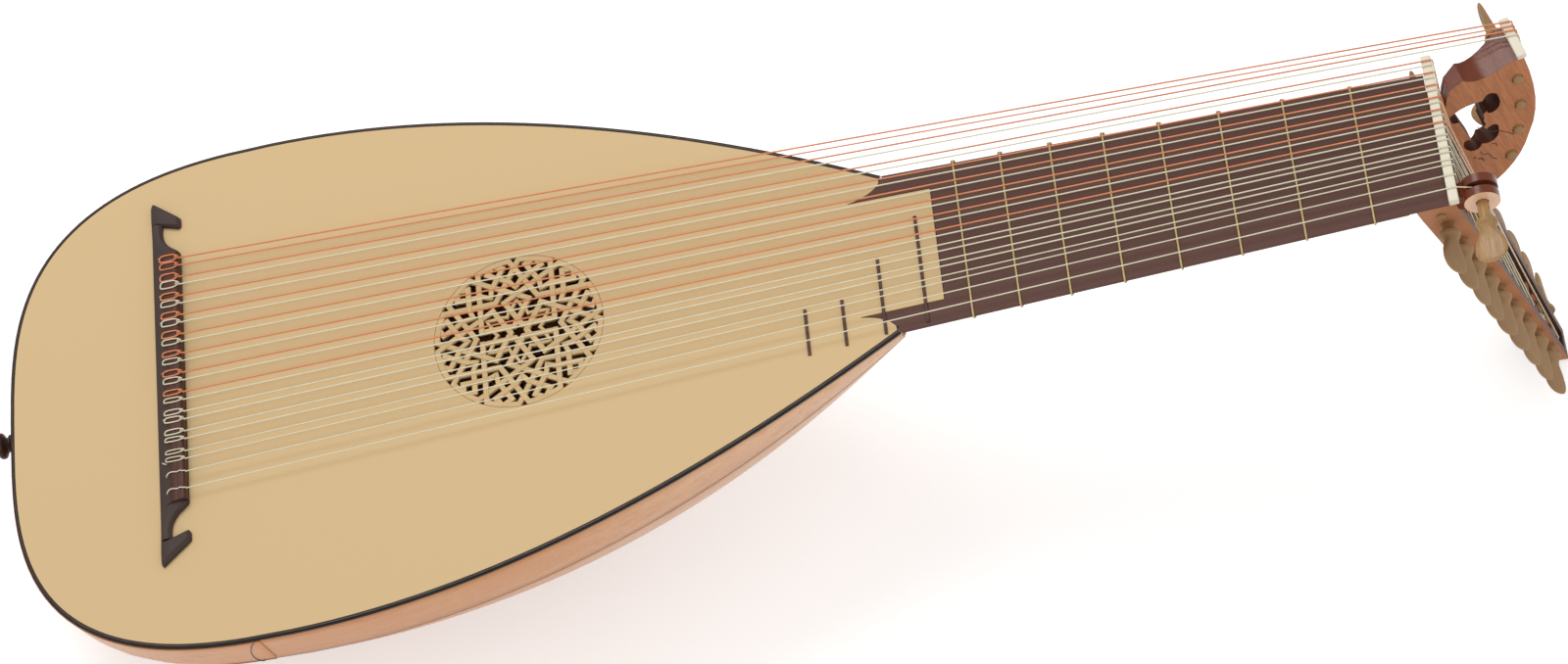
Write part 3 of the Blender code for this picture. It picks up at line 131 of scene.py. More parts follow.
class LuteWoods(bpy.types.PropertyGroup):
    """Colours of the lute's woods, bone and strings."""
    spruce: colour("Soundboard spruce", "Pale wood between the grain lines", (0.760, 0.560, 0.305))
    spruce_line: colour("Spruce grain", "The darker grain lines", (0.560, 0.320, 0.115))
    rib: colour("Rib wood", "Pale colour of the bowl's ribs", (0.780, 0.455, 0.245))
    rib_line: colour("Rib figure", "Darker figure in the ribs", (0.540, 0.215, 0.075))
    spacer: colour("Spacer lines", "Dark strips between the ribs", (0.080, 0.020, 0.012))
    ebony: colour("Edging", "Black edging and button", (0.007, 0.005, 0.0045))
    edging_line: colour("Edging line", "Thin brown line in the edging", (0.140, 0.060, 0.030))
    fingerboard: colour("Fingerboard", "Red-brown of the fingerboard", (0.062, 0.014, 0.008))
    fingerboard_line: colour("Fingerboard streaks", "Darker streaks", (0.017, 0.004, 0.003))
    pegbox: colour("Pegbox wood", "Orange-brown cherry", (0.500, 0.180, 0.042))
    pegbox_line: colour("Pegbox figure", "Its darker figure", (0.250, 0.062, 0.013))
    # Painted highlight: pale colour at the pegbox's two ends, standing in for the lamp's reflection on its cheeks.
    pegbox_pale: colour("Pegbox painted highlight", "Painted highlight at the pegbox's two ends", (0.900, 0.640, 0.430))
    rim: colour("Rider rims", "Dark red-brown edges of the riders", (0.200, 0.040, 0.011))
    peg: colour("Peg wood", "Olive brown of the pegs", (0.255, 0.122, 0.031))
    peg_line: colour("Peg figure", "Its darker pores", (0.085, 0.036, 0.010))
    neck: colour("Neck wood", "Red-brown of the neck", (0.420, 0.160, 0.070))
    bridge: colour("Bridge wood", "Near-black brown", (0.018, 0.008, 0.006))
    bridge_cap: colour("Bridge top", "Reddish strip under the loops", (0.110, 0.034, 0.020))
    bone: colour("Bone", "Nuts", (0.740, 0.720, 0.620))
    copper: colour("Bass strings", "Copper-coloured strings", (0.760, 0.250, 0.095))
    ivory: colour("Gut strings", "Ivory strings", (0.800, 0.740, 0.540))
    fret: colour("Tied frets", "Golden gut", (0.560, 0.380, 0.110))


class LuteSizes(bpy.types.PropertyGroup):
    """Sizes of the lute's fine detail."""
    spacer_width: length("Spacer width", "Dark strip between two ribs", 1.0)
    ribbon_width: length("Ribbon width", "Carved ribbons of the rose", 3.1)
    rose_radius: length("Rose radius", "Edge of the pierced carving", 48.2)
    loop_length: length("Tie loop length", "Loop of a string over the bridge", 10.9)
    copper_radius: length("Bass string radius", "Half the thickness of a copper string", 0.45)
    ivory_radius: length("Gut string radius", "Half the thickness of an ivory string", 0.40)
    fret_radius: length("Fret radius", "Half the thickness of a tied fret", 0.5)
    peg_turns: bpy.props.FloatProperty(name="Turns on a peg", description="Turns of string on each peg",
                                       default=4.3, min=1, max=6)


class LuteStage(bpy.types.PropertyGroup):
    """The floor and the studio's light."""
    key_power: bpy.props.FloatProperty(name="Key lamp", description="Power of the large soft lamp",
                                       default=31.0, unit="POWER", min=0)
    fill_power: bpy.props.FloatProperty(name="Fill lamp", description="Power of the lamp opposite",
                                        default=12.0, unit="POWER", min=0)
    surround: bpy.props.FloatProperty(name="Surround", description="Light from all sides", default=0.62, min=0)
    floor: colour("Floor", "Pale floor", (0.86, 0.86, 0.86))


def woods():
    return bpy.context.scene.lute_woods


def sizes():
    return bpy.context.scene.lute_sizes


# Materials

def node(tree, kind, place=None, **values):
    made = tree.nodes.new(kind)
    for key, value in values.items():
        if hasattr(made, key) and key not in made.inputs:
            setattr(made, key, value)
        else:
            made.inputs[key].default_value = value
    return made


def start_material(name, roughness, coat=0.0):
    material = bpy.data.materials.get(name)
    if material:
        return material, None, None
    material = bpy.data.materials.new(name)
    material.use_nodes = True
    tree = material.node_tree
    shader = tree.nodes["Principled BSDF"]
    shader.inputs["Roughness"].default_value = roughness
    shader.inputs["Coat Weight"].default_value = coat
    shader.inputs["Coat Roughness"].default_value = 0.18
    return material, tree, shader


def stretched(tree, stretch, turn=(0, 0, 0)):
    """Coordinates turned into the wood's own direction, then stretched along the grain."""
    where = node(tree, "ShaderNodeTexCoord")
    turned = node(tree, "ShaderNodeMapping", Rotation=turn)
    scaled = node(tree, "ShaderNodeMapping", Scale=stretch)
    tree.links.new(where.outputs["Object"], turned.inputs["Vector"])
    tree.links.new(turned.outputs["Vector"], scaled.inputs["Vector"])
    return scaled.outputs["Vector"]


def noise(tree, vector, detail=4.0, roughness=0.55, distortion=0.0):
    made = node(tree, "ShaderNodeTexNoise", Scale=1.0, Detail=detail, Roughness=roughness,
                Distortion=distortion)
    tree.links.new(vector, made.inputs["Vector"])
    return made.outputs["Fac"]


def between(tree, value, low, high, out_low=0.0, out_high=1.0):
    made = node(tree, "ShaderNodeMapRange")
    for key, amount in (("From Min", low), ("From Max", high), ("To Min", out_low), ("To Max", out_high)):
        made.inputs[key].default_value = amount
    tree.links.new(value, made.inputs["Value"])
    return made.outputs["Result"]


def blended(tree, share, first, second, way="MIX"):
    """A colour between two; each is a colour or another node's output."""
    made = node(tree, "ShaderNodeMix", data_type="RGBA", blend_type=way)
    if isinstance(share, (int, float)):
        made.inputs[0].default_value = share
    else:
        tree.links.new(share, made.inputs[0])
    for socket, value in ((made.inputs[6], first), (made.inputs[7], second)):
        if isinstance(value, bpy.types.NodeSocket):
            tree.links.new(value, socket)
        else:
            socket.default_value = (*value, 1.0)
    return made.outputs[2]


def raised(tree, shader, height, distance, strength=1.0):
    bump = node(tree, "ShaderNodeBump", Strength=strength, Distance=distance)
    tree.links.new(height, bump.inputs["Height"])
    tree.links.new(bump.outputs["Normal"], shader.inputs["Normal"])


def wood(name, pale, dark, turn=(0, 0, 0), roughness=0.42, grain=1400, along=14, figure=60, coat=0.15,
         contrast=0.55, islands=False, shine=0.5):
    """Varnished wood: fine grain lines, broad figure and open pores."""
    material, tree, shader = start_material(name, roughness, coat)
    if not tree:
        return material
    shader.inputs["Specular IOR Level"].default_value = shine
    fine = noise(tree, stretched(tree, (along, grain, grain), turn), 3.0)
    broad = noise(tree, stretched(tree, (figure * 0.08, figure, figure), turn), 3.0, distortion=0.6)
    pores = noise(tree, stretched(tree, (grain * 0.06, grain * 2.2, grain * 2.2), turn), 2.0)
    share = between(tree, fine, 0.32, 0.68, 0.0, contrast)
    tone = blended(tree, share, tuple(pale), tuple(dark))
    tone = blended(tree, between(tree, broad, 0.35, 0.70, 0.0, 0.55), tone, tuple(dark))
    tone = blended(tree, between(tree, pores, 0.62, 0.75, 0.0, 0.5), tone, tuple(c * 0.45 for c in dark))
    if islands:
        island = node(tree, "ShaderNodeNewGeometry").outputs["Random Per Island"]
        tone = blended(tree, between(tree, island, 0, 1, 0.0, 0.42), tone, tuple(c * 0.8 for c in dark))
    tree.links.new(tone, shader.inputs["Base Color"])
    tree.links.new(between(tree, fine, 0.3, 0.7, roughness - 0.06, roughness + 0.08), shader.inputs["Roughness"])
    raised(tree, shader, pores, 0.00006, 0.5)
    return material


LUTE_TURN = (0, TILT, 0)
PEGBOX_TURN = (0, TILT - PEGBOX_ANGLE, 0)


def lute_axis(tree, axis, turn=LUTE_TURN):
    """The distance along one axis of the turned coordinates, measured in the world."""
    where = node(tree, "ShaderNodeSeparateXYZ")
    tree.links.new(stretched(tree, (1, 1, 1), turn), where.inputs["Vector"])
    return where.outputs[axis]


def origin_on(axis, point, turn=LUTE_TURN):
    """Where a point of the lute lies on that axis."""
    return (Euler(turn).to_matrix() @ (LUTE @ Vector(point)))["XYZ".index(axis)]


def spruce_material():
    """Quarter-sawn spruce: straight grain lines along the strings and silk across them."""
    material, tree, shader = start_material("spruce", 0.5, 0.0)
    if not tree:
        return material
    shader.inputs["Specular IOR Level"].default_value = 0.3
    lines = node(tree, "ShaderNodeTexWave", wave_type="BANDS", bands_direction="Y", wave_profile="SIN",
                 Scale=1.0, Distortion=3.0, Detail=3.0)
    lines.inputs["Detail Scale"].default_value = 0.45
    tree.links.new(stretched(tree, (1.6, 158, 1.6), LUTE_TURN), lines.inputs["Vector"])
    strength = noise(tree, stretched(tree, (2.0, 150, 2.0), LUTE_TURN), 2.0)
    groups = noise(tree, stretched(tree, (0.8, 26, 0.8), LUTE_TURN), 2.0)
    silk = noise(tree, stretched(tree, (620, 110, 110), LUTE_TURN), 3.0)
    patch = noise(tree, stretched(tree, (16, 16, 16), LUTE_TURN), 3.0)
    pale = tuple(woods().spruce)
    line = tuple(woods().spruce_line)
    dark = node(tree, "ShaderNodeMath", operation="MULTIPLY")
    tree.links.new(between(tree, lines.outputs["Fac"], 0.35, 1.0), dark.inputs[0])
    tree.links.new(between(tree, strength, 0.30, 0.66, 0.30, 1.0), dark.inputs[1])
    tone = blended(tree, dark.outputs[0], pale, line)
    tone = blended(tree, between(tree, groups, 0.40, 0.66, 0.0, 0.42), tone, line)
    tone = blended(tree, between(tree, silk, 0.50, 0.68, 0.0, 0.42), tone, (0.86, 0.70, 0.44))
    tone = blended(tree, between(tree, silk, 0.48, 0.34, 0.0, 0.30), tone, line)
    tone = blended(tree, between(tree, patch, 0.3, 0.75, 0.0, 0.16), tone, (0.70, 0.45, 0.20))
    seam = node(tree, "ShaderNodeMath", operation="ABSOLUTE")
    tree.links.new(lute_axis(tree, "Y"), seam.inputs[0])
    tone = blended(tree, between(tree, seam.outputs[0], 0.05 * MM, 0.25 * MM, 0.45, 0.0), tone, (0.42, 0.22, 0.08))
    tree.links.new(tone, shader.inputs["Base Color"])
    tree.links.new(between(tree, silk, 0.3, 0.7, 0.44, 0.58), shader.inputs["Roughness"])
    raised(tree, shader, lines.outputs["Fac"], 0.00004, 0.5)
    return material


def plain(name, tone, roughness=0.4, speck=0.12, metallic=0.0, coat=0.0, scale=900.0):
    """A fine-textured material with slight unevenness of tone and sheen."""
    material, tree, shader = start_material(name, roughness, coat)
    if not tree:
        return material
    shader.inputs["Metallic"].default_value = metallic
    fine = noise(tree, stretched(tree, (scale, scale, scale), LUTE_TURN), 3.0)
    broad = noise(tree, stretched(tree, (60, 60, 60), LUTE_TURN), 2.0)
    darker = tuple(c * (1 - 2.2 * speck) for c in tone)
    mixed = blended(tree, between(tree, fine, 0.3, 0.7), tuple(tone), darker)
    mixed = blended(tree, between(tree, broad, 0.35, 0.7, 0.0, 0.5), mixed, darker)
    tree.links.new(mixed, shader.inputs["Base Color"])
    tree.links.new(between(tree, fine, 0.3, 0.7, roughness - 0.07, roughness + 0.1), shader.inputs["Roughness"])
    raised(tree, shader, fine, 0.00003, 0.4)
    return material


def string_material(name, tone, roughness):
    """Twisted string: fine ridges across its length."""
    material, tree, shader = start_material(name, roughness)
    if not tree:
        return material
    shader.inputs["Specular IOR Level"].default_value = 0.6
    ridges = node(tree, "ShaderNodeTexWave", wave_type="BANDS", bands_direction="DIAGONAL", Scale=1.0)
    tree.links.new(stretched(tree, (700, 260, 260), LUTE_TURN), ridges.inputs["Vector"])
    worn = noise(tree, stretched(tree, (120, 120, 120), LUTE_TURN), 2.0)
    darker = tuple(c * 0.72 for c in tone)
    mixed = blended(tree, between(tree, ridges.outputs["Fac"], 0, 1, 0.0, 0.45), tuple(tone), darker)
    mixed = blended(tree, between(tree, worn, 0.3, 0.7, 0.0, 0.4), mixed, darker)
    tree.links.new(mixed, shader.inputs["Base Color"])
    raised(tree, shader, ridges.outputs["Fac"], 0.00004, 0.6)
    return material


def rib_material(name="rib_wood", islands=True):
    """Ribs, more orange towards the tail and paler towards the neck."""
    material = wood(name, woods().rib, woods().rib_line, LUTE_TURN, 0.36, 1500, 7, 36, 0.12, 0.40, islands, 0.4)
    tree = material.node_tree
    shader = tree.nodes["Principled BSDF"]
    if "light_painted" not in material:
        link = shader.inputs["Base Color"].links[0]
        tone = link.from_socket
        # Painted light: darker orange towards the tail and paler towards the neck, standing in for the brightness
        # along the bowl's side.
        tail, neck = origin_on("X", (-20 * MM, 0, 0)), origin_on("X", (390 * MM, 0, 0))
        along = lute_axis(tree, "X")
        tone = blended(tree, between(tree, along, neck, tail, 0.0, 0.48), tone, (0.640, 0.245, 0.075))
        tone = blended(tree, between(tree, along, (tail + neck) / 2, neck, 0.0, 0.42), tone, (0.930, 0.680, 0.480))
        streak = noise(tree, stretched(tree, (3, 210, 210), LUTE_TURN), 2.0)
        tone = blended(tree, between(tree, streak, 0.50, 0.72, 0.0, 0.40), tone, (0.560, 0.200, 0.080))
        tree.links.new(tone, shader.inputs["Base Color"])
        material["light_painted"] = True
    return material


def pegbox_material():
    """Cherry along the pegbox, with pale sapwood by the neck and at the far end."""
    name = "pegbox_wood"
    known = name in bpy.data.materials
    material = wood(name, woods().pegbox, woods().pegbox_line, PEGBOX_TURN, 0.33, 900, 7, 110, 0.12, 0.8, shine=0.35)
    if known:
        return material
    tree = material.node_tree
    shader = tree.nodes["Principled BSDF"]
    tone = shader.inputs["Base Color"].links[0].from_socket
    foot = (NUT_BACK_X, 0, 0)
    start, face = origin_on("X", foot, PEGBOX_TURN), origin_on("Z", foot, PEGBOX_TURN)
    along, out = lute_axis(tree, "X", PEGBOX_TURN), lute_axis(tree, "Z", PEGBOX_TURN)
    slant = node(tree, "ShaderNodeMath", operation="MULTIPLY_ADD")
    slant.inputs[1].default_value = 0.64
    tree.links.new(out, slant.inputs[0])
    tree.links.new(along, slant.inputs[2])
    corner = start + 0.64 * face
    # Painted highlight by the neck end, up to a slanting line across the cheek.
    neck_end_highlight = between(tree, slant.outputs[0], corner + 3 * MM, corner + 9 * MM, 1.0, 0.0)
    tone = blended(tree, neck_end_highlight, tone, tuple(woods().pegbox_pale))
    # Painted highlight at the far end.
    far = between(tree, along, start + 196 * MM, start + 214 * MM, 0.0, 0.85)
    tone = blended(tree, far, tone, tuple(woods().pegbox_pale))
    tree.links.new(tone, shader.inputs["Base Color"])
    return material


def rider_material():
    return wood("rider_wood", (0.540, 0.195, 0.052), (0.300, 0.085, 0.020), PEGBOX_TURN, 0.36, 800, 9, 60, 0.08, 0.7, shine=0.35)


def rim_material():
    return wood("rim_wood", woods().rim, tuple(c * 0.45 for c in woods().rim), PEGBOX_TURN, 0.26, 900, 8, 60, 0.25, 0.7, shine=0.3)


# Painted shade: a dark copy of the pegbox wood for the faces inside the pegbox, the walls of the bass rider's
# piercing and faces turned down.
def inside_material():
    return wood("pegbox_painted_shade", (0.095, 0.026, 0.010), (0.045, 0.012, 0.006), PEGBOX_TURN, 0.5, 900, 8, 60, 0.0, 0.6,
                shine=0.3)


def peg_material(pale=False):
    if pale:
        return wood("chanterelle_peg_wood", (0.470, 0.275, 0.100), (0.250, 0.125, 0.040), (0, 0, math.radians(90)), 0.42,
                    1500, 55, 110, 0.1, 0.75)
    return wood("peg_wood", woods().peg, woods().peg_line, (0, 0, math.radians(90)), 0.38, 1500, 50, 150, 0.05, 0.8,
                shine=0.3)


# Making pieces

def keep(name, data, materials, body, replaces=()):
    """Link a piece at its place, let it ride on its body and stand for its CAD nodes."""
    piece = bpy.data.objects.new(name, data)
    bpy.context.scene.collection.objects.link(piece)
    for material in materials:
        data.materials.append(material)
    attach(piece, body)
    if replaces:
        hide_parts(*replaces)
    return piece


def finish_mesh(name, shape, sharp=35.0, in_world=False):
    """A mesh in the world from a shape in the lute's frame, smooth up to an angle."""
    if not in_world:
        bmesh.ops.transform(shape, matrix=LUTE, verts=shape.verts)
    bmesh.ops.recalc_face_normals(shape, faces=shape.faces)
    for face in shape.faces:
        face.smooth = True
    for edge in shape.edges:
        if len(edge.link_faces) == 2:
            edge.smooth = edge.calc_face_angle(0.0) < math.radians(sharp)
    mesh = bpy.data.meshes.new(name)
    shape.to_mesh(mesh)
    shape.free()
    return mesh


def rounded(piece, width, segments=2):
    edge = piece.modifiers.new("rounded_edges", "BEVEL")
    edge.width = width
    edge.segments = segments
    edge.limit_method = "ANGLE"
    edge.angle_limit = math.radians(38)
    edge.harden_normals = True
    return piece


def skin(rows, closed=False, index=0, shape=None, caps=False):
    """Quads between rows of points."""
    shape = shape or bmesh.new()
    made = [[shape.verts.new(point) for point in row] for row in rows]
    count = len(made[0])
    for row, following in zip(made, made[1:]):
        for k in range(count if closed else count - 1):
            face = shape.faces.new((row[k], row[(k + 1) % count], following[(k + 1) % count], following[k]))
            face.material_index = index
    if caps:
        for row in (made[0], made[-1]):
            shape.faces.new(row).material_index = index
    return shape


def bar(shape, low, high, index=0):
    """A square bar in a shape, between two corners."""
    size = Vector(high) - Vector(low)
    place = Matrix.Translation((Vector(high) + Vector(low)) / 2) @ Matrix.Diagonal((*size, 1.0))
    made = bmesh.ops.create_cube(shape, size=1.0, matrix=place)
    for vertex in made["verts"]:
        for face in vertex.link_faces:
            face.material_index = index


def cord_lines(name, lines, radius, material, body, replaces=(), closed=False, in_world=False):
    """Round cords along lines of points; radius is one number for all of them."""
    curve = bpy.data.curves.new(name, "CURVE")
    curve.dimensions = "3D"
    curve.bevel_depth = radius
    curve.bevel_resolution = 3
    curve.use_fill_caps = not closed
    for line in lines:
        spline = curve.splines.new("POLY")
        spline.points.add(len(line) - 1)
        for point, place in zip(spline.points, line):
            point.co = (*(place if in_world else LUTE @ Vector(place)), 1.0)
        spline.use_cyclic_u = closed
        spline.use_smooth = True
    return keep(name, curve, [material], body, replaces)


def smooth_line(points, steps=6, closed=False):
    """A smooth line through points."""
    points = [Vector(p) for p in points]
    count = len(points)
    line = []
    for k in range(count if closed else count - 1):
        ends = [points[(k + d) % count] if closed else points[min(max(k + d, 0), count - 1)]
                for d in (-1, 0, 1, 2)]
        for step in range(steps):
            t = step / steps
            line.append(0.5 * (2 * ends[1] + (ends[2] - ends[0]) * t
                               + (2 * ends[0] - 5 * ends[1] + 4 * ends[2] - ends[3]) * t * t
                               + (3 * ends[1] - ends[0] - 3 * ends[2] + ends[3]) * t ** 3))
    if not closed:
        line.append(points[-1])
    return line


def dressed(name, material, edge_width=0.4 * MM, body="lute", sharp=32.0):
    """A CAD node's own shape with its corners joined, its edges eased and a finish."""
    shape = bmesh.new()
    shape.from_mesh(frame["nodes"][name].data)
    bmesh.ops.remove_doubles(shape, verts=shape.verts, dist=0.004 * MM)
    bmesh.ops.dissolve_limit(shape, angle_limit=math.radians(0.6), verts=shape.verts, edges=shape.edges)
    for face in shape.faces:
        face.material_index = 0
    piece = keep(name + "_dressed", finish_mesh(name + "_dressed", shape, sharp, in_world=True), [material], body,
                 [name])
    if edge_width:
        rounded(piece, edge_width)
    return piece


# The body's outline and depth

def neck_half_width(x):
    return NUT_HALF_WIDTH + NECK_TAPER * (STRING_LENGTH - x)


def body_half_width(x):
    if x < WIDEST_X:
        share = (WIDEST_X - x) / (WIDEST_X - TAIL_X)
        return BODY_HALF_WIDTH * max(0.0, 1 - share ** TAIL_POWER_ALONG) ** (1 / TAIL_POWER_ACROSS)
    share = (x - WIDEST_X) / (JOINT_X - WIDEST_X)
    drop = BODY_HALF_WIDTH + SHOULDER_FULLNESS - neck_half_width(JOINT_X)
    return BODY_HALF_WIDTH - drop * share ** 2 + SHOULDER_FULLNESS * share ** 3


def body_depth(x):
    if x < DEEPEST_X:
        share = (DEEPEST_X - x) / (DEEPEST_X - TAIL_X)
        return BOWL_DEPTH * max(0.0, 1 - share ** 2.2) ** (1 / 2.3)
    share = (x - DEEPEST_X) / (JOINT_X - DEEPEST_X)
    drop = BOWL_DEPTH - BACK_FULLNESS - NECK_ROUNDNESS * neck_half_width(JOINT_X)
    return BOWL_DEPTH - drop * share ** 2 - BACK_FULLNESS * share ** 3


def stations(count=34):
    """Places along the body from tail to neck, close together where the tail turns.

    None lies within the flat stretch that the lute rests on."""
    reach = WIDEST_X - TAIL_X
    xs = []
    for k in range(count):
        angle = math.radians(0.8 + 88.2 * k / (count - 1))
        xs.append(WIDEST_X - reach * math.cos(angle) ** (2 / TAIL_POWER_ALONG))
    xs += [REST_START, REST_END]
    xs += [REST_END + (JOINT_X - REST_END) * k / 30 for k in range(1, 31)]
    return sorted(x for x in xs if not REST_START < x < REST_END)


def outline(inset, end_x=JOINT_X):
    """The bass half of the body's outline, moved in by a distance, from tail to neck."""
    xs = [x for x in stations() if x < end_x - 0.5 * MM] + [end_x]
    ends = [(x, body_half_width(x)) for x in xs]
    line = []
    for k, (x, y) in enumerate(ends):
        before = ends[max(k - 1, 0)]
        after = ends[min(k + 1, len(ends) - 1)]
        run = Vector((after[0] - before[0], after[1] - before[1])).normalized()
        line.append((x + inset * run.y, y - inset * run.x))
    return [(line[0][0], 0.0)] + line


def both_sides(half):
    """A whole outline, from the neck's bass side round the tail to the treble side."""
    return list(reversed(half[1:])) + [half[0]] + [(x, -y) for x, y in half[1:]]


# The soundboard and its rose

def beard(side, apart=0.0):
    """The edge of a fingerboard point, from its outer corner to its tip."""
    corner = Vector((JOINT_X, side * neck_half_width(JOINT_X)))
    control = Vector((JOINT_X - 3.5 * MM, side * (BEARD_TIP[1] + 2.6 * MM)))
    tip = Vector((BEARD_TIP[0], side * BEARD_TIP[1]))
    line = []
    for k in range(25):
        t = k / 24
        point = (1 - t) ** 2 * corner + 2 * t * (1 - t) * control + t * t * tip
        line.append((point.x - apart, point.y + side * apart * 0.3))
    return line


def board_outline():
    inner = outline(EDGING_WIDTH + 0.1 * MM, JOINT_X - 1.2 * MM)
    last = inner[-1]
    half = inner + [p for p in beard(1, GAP) if p[0] < last[0] and p[1] < last[1]]
    half += [(BEARD_TIP[0] - GAP, BEARD_TIP[1] - GAP), (TONGUE_END_X - GAP, TONGUE_HALF_WIDTH - GAP)]
    return both_sides(half)


def plate(shape, outlines, bottom, top, index=0):
    """A flat plate within the first outline, with the others as holes through it."""
    loops = []
    for points in outlines:
        row = [shape.verts.new((x, y, top)) for x, y in points]
        loops += [shape.edges.new((row[k], row[(k + 1) % len(row)])) for k in range(len(row))]
    made = bmesh.ops.triangle_fill(shape, edges=loops, use_beauty=True)
    faces = [g for g in made["geom"] if isinstance(g, bmesh.types.BMFace)]
    for face in faces:
        face.material_index = index
    raised_part = bmesh.ops.extrude_face_region(shape, geom=faces)
    moved = [g for g in raised_part["geom"] if isinstance(g, bmesh.types.BMVert)]
    bmesh.ops.translate(shape, verts=moved, vec=(0, 0, bottom - top))


def circle(radius, count=96):
    return [(ROSE_X + radius * math.cos(2 * math.pi * k / count), radius * math.sin(2 * math.pi * k / count))
            for k in range(count)]


# The rose is drawn in millimetres round its own centre. Each ribbon is a row of pairs of
# points, one on each of its edges. Its outer part repeats twelve times, its inner part six.
MAIN_RIBBON = 20.9
SECOND_RIBBON = 27.05
SHORT_RIBBON = 33.5
PAIR_RIBBON = 3.95


def spun(points, degrees, side=1):
    """Points mirrored to a side, then turned round the rose's centre."""
    turn = Matrix.Rotation(math.radians(degrees), 2)
    return [turn @ Vector((x, y * side)) for x, y in points]


def straight_ribbon(distance, half, starts, ends):
    """A ribbon at a distance from the centre; starts and ends are for its two edges."""
    return [((distance - half, starts[0]), (distance + half, starts[1])),
            ((distance - half, ends[0]), (distance + half, ends[1]))]


def rim_ends(distance, half, radius):
    return [math.sqrt(radius * radius - (distance + way * half) ** 2) for way in (-1, 1)]


def outer_ribbons(half, radius):
    """The ribbons of one of the twelve outer sectors, on one side of its middle."""
    slope = math.tan(math.radians(30))
    mitred = [(MAIN_RIBBON - half) * slope, (MAIN_RIBBON + half) * slope]
    square = [PAIR_RIBBON - half] * 2
    rim = rim_ends(MAIN_RIBBON, half, radius)
    second_end = SHORT_RIBBON + half
    second = straight_ribbon(SECOND_RIBBON, half, [second_end] * 2, [19.3, 19.3])
    second += [((24.3, 16.4), (26.95, 15.56)), ((23.3, 13.5), (23.4, 13.5))]
    short = straight_ribbon(SHORT_RIBBON, half, [SECOND_RIBBON - half] * 2, rim_ends(SHORT_RIBBON, half, radius))
    return {"square": straight_ribbon(MAIN_RIBBON, half, square, rim),
            "mitred": straight_ribbon(MAIN_RIBBON, half, mitred, rim), "second": second, "short": short}


def rose_ribbons(half, radius):
    """Every ribbon as (edge pairs, kind); the kind says how it lies among the others."""
    found = []
    sector = outer_ribbons(half, radius)
    for turn in range(12):
        for side in (1, -1):
            for kind in ("mitred" if turn % 2 else "square", "second", "short"):
                pairs = [spun(pair, 30 * turn, side) for pair in sector[kind]]
                found.append((pairs, "under" if kind == "short" else "woven"))
    reach = MAIN_RIBBON + half
    inner, outer = PAIR_RIBBON - half, PAIR_RIBBON + half
    pair = [(-reach, inner), (-1.3, inner), (0.0, 4.3), (1.3, inner), (reach, inner)]
    leaf = [((18.8, 10.85), (18.82, 10.83)), ((17.6, 8.0), (16.4, 9.45)), ((16.57, 5.93), (14.25, 5.93)),
            ((14.96, 2.1), (12.64, 2.1)), ((13.2, 0.0), (10.86, 0.0))]
    leaf += [((a[0], -a[1]), (b[0], -b[1])) for a, b in reversed(leaf[:-1])]
    for turn in range(6):
        found.append(([spun([(x, y), (x, outer)], 60 * turn) for x, y in pair], "woven"))
        found.append(([spun(ends, 60 * turn) for ends in leaf], "under"))
    return found


def crossings(lines):
    """For each line, the lengths along it where another crosses, and its height there."""
    found = [[] for _ in lines]
    for first in range(len(lines)):
        for second in range(first + 1, len(lines)):
            a, b = lines[first]
            c, d = lines[second]
            run, other = b - a, d - c
            turn = run.x * other.y - run.y * other.x
            if abs(turn) < 1e-6:
                continue
            s = ((c.x - a.x) * other.y - (c.y - a.y) * other.x) / turn
            t = ((c.x - a.x) * run.y - (c.y - a.y) * run.x) / turn
            if 0.03 < s < 0.97 and 0.03 < t < 0.97:
                found[first].append([s * run.length, second])
                found[second].append([t * other.length, first])
    levels = {}
    result = []
    for number, places in enumerate(found):
        places.sort()
        over = number % 2 == 0
        heights = []
        for where, other in places:
            key = (min(number, other), max(number, other))
            over = not levels[key] if key in levels else over
            levels[key] = over
            heights.append((where, OVER if over else UNDER))
            over = not over
        result.append(heights)
    return result


OVER = 0.10
UNDER = -0.36


def add_ribbon(shape, pairs, heights, level):
    """One carved ribbon that dips under and rises over the ribbons it crosses."""
    rows = []
    passed = 0.0
    for (left, right), (next_left, next_right) in zip(pairs, pairs[1:]):
        reach = ((next_left + next_right) / 2 - (left + right) / 2).length
        steps = max(1, round(reach / 0.6))
        for k in range(steps + 1):
            if k == 0 and rows:
                continue
            share = k / steps
            lift = sum(height * max(0.0, 1 - abs(passed + reach * share - where) / 3.2) ** 1.2
                       for where, height in heights)
            lift = level + max(UNDER, min(OVER, lift))
            a = left.lerp(next_left, share)
            b = right.lerp(next_right, share)
            edge = min(0.45, 0.16 / max((b - a).length, 0.01))
            row = []
            for across, height in ((0.0, -1.5), (0.0, -0.16), (edge, 0.0), (1.0 - edge, 0.0), (1.0, -0.16), (1.0, -1.5)):
                place = a.lerp(b, across)
                row.append((ROSE_X + place.x * MM, place.y * MM, (height + lift) * MM))
            rows.append(row)
        passed += reach
    before = len(shape.faces)
    skin(rows, closed=True, shape=shape, caps=True)
    shape.faces.ensure_lookup_table()
    for number, face in enumerate(shape.faces[before:-2]):
        face.material_index = 1 if number % 6 in (1, 3) else 0


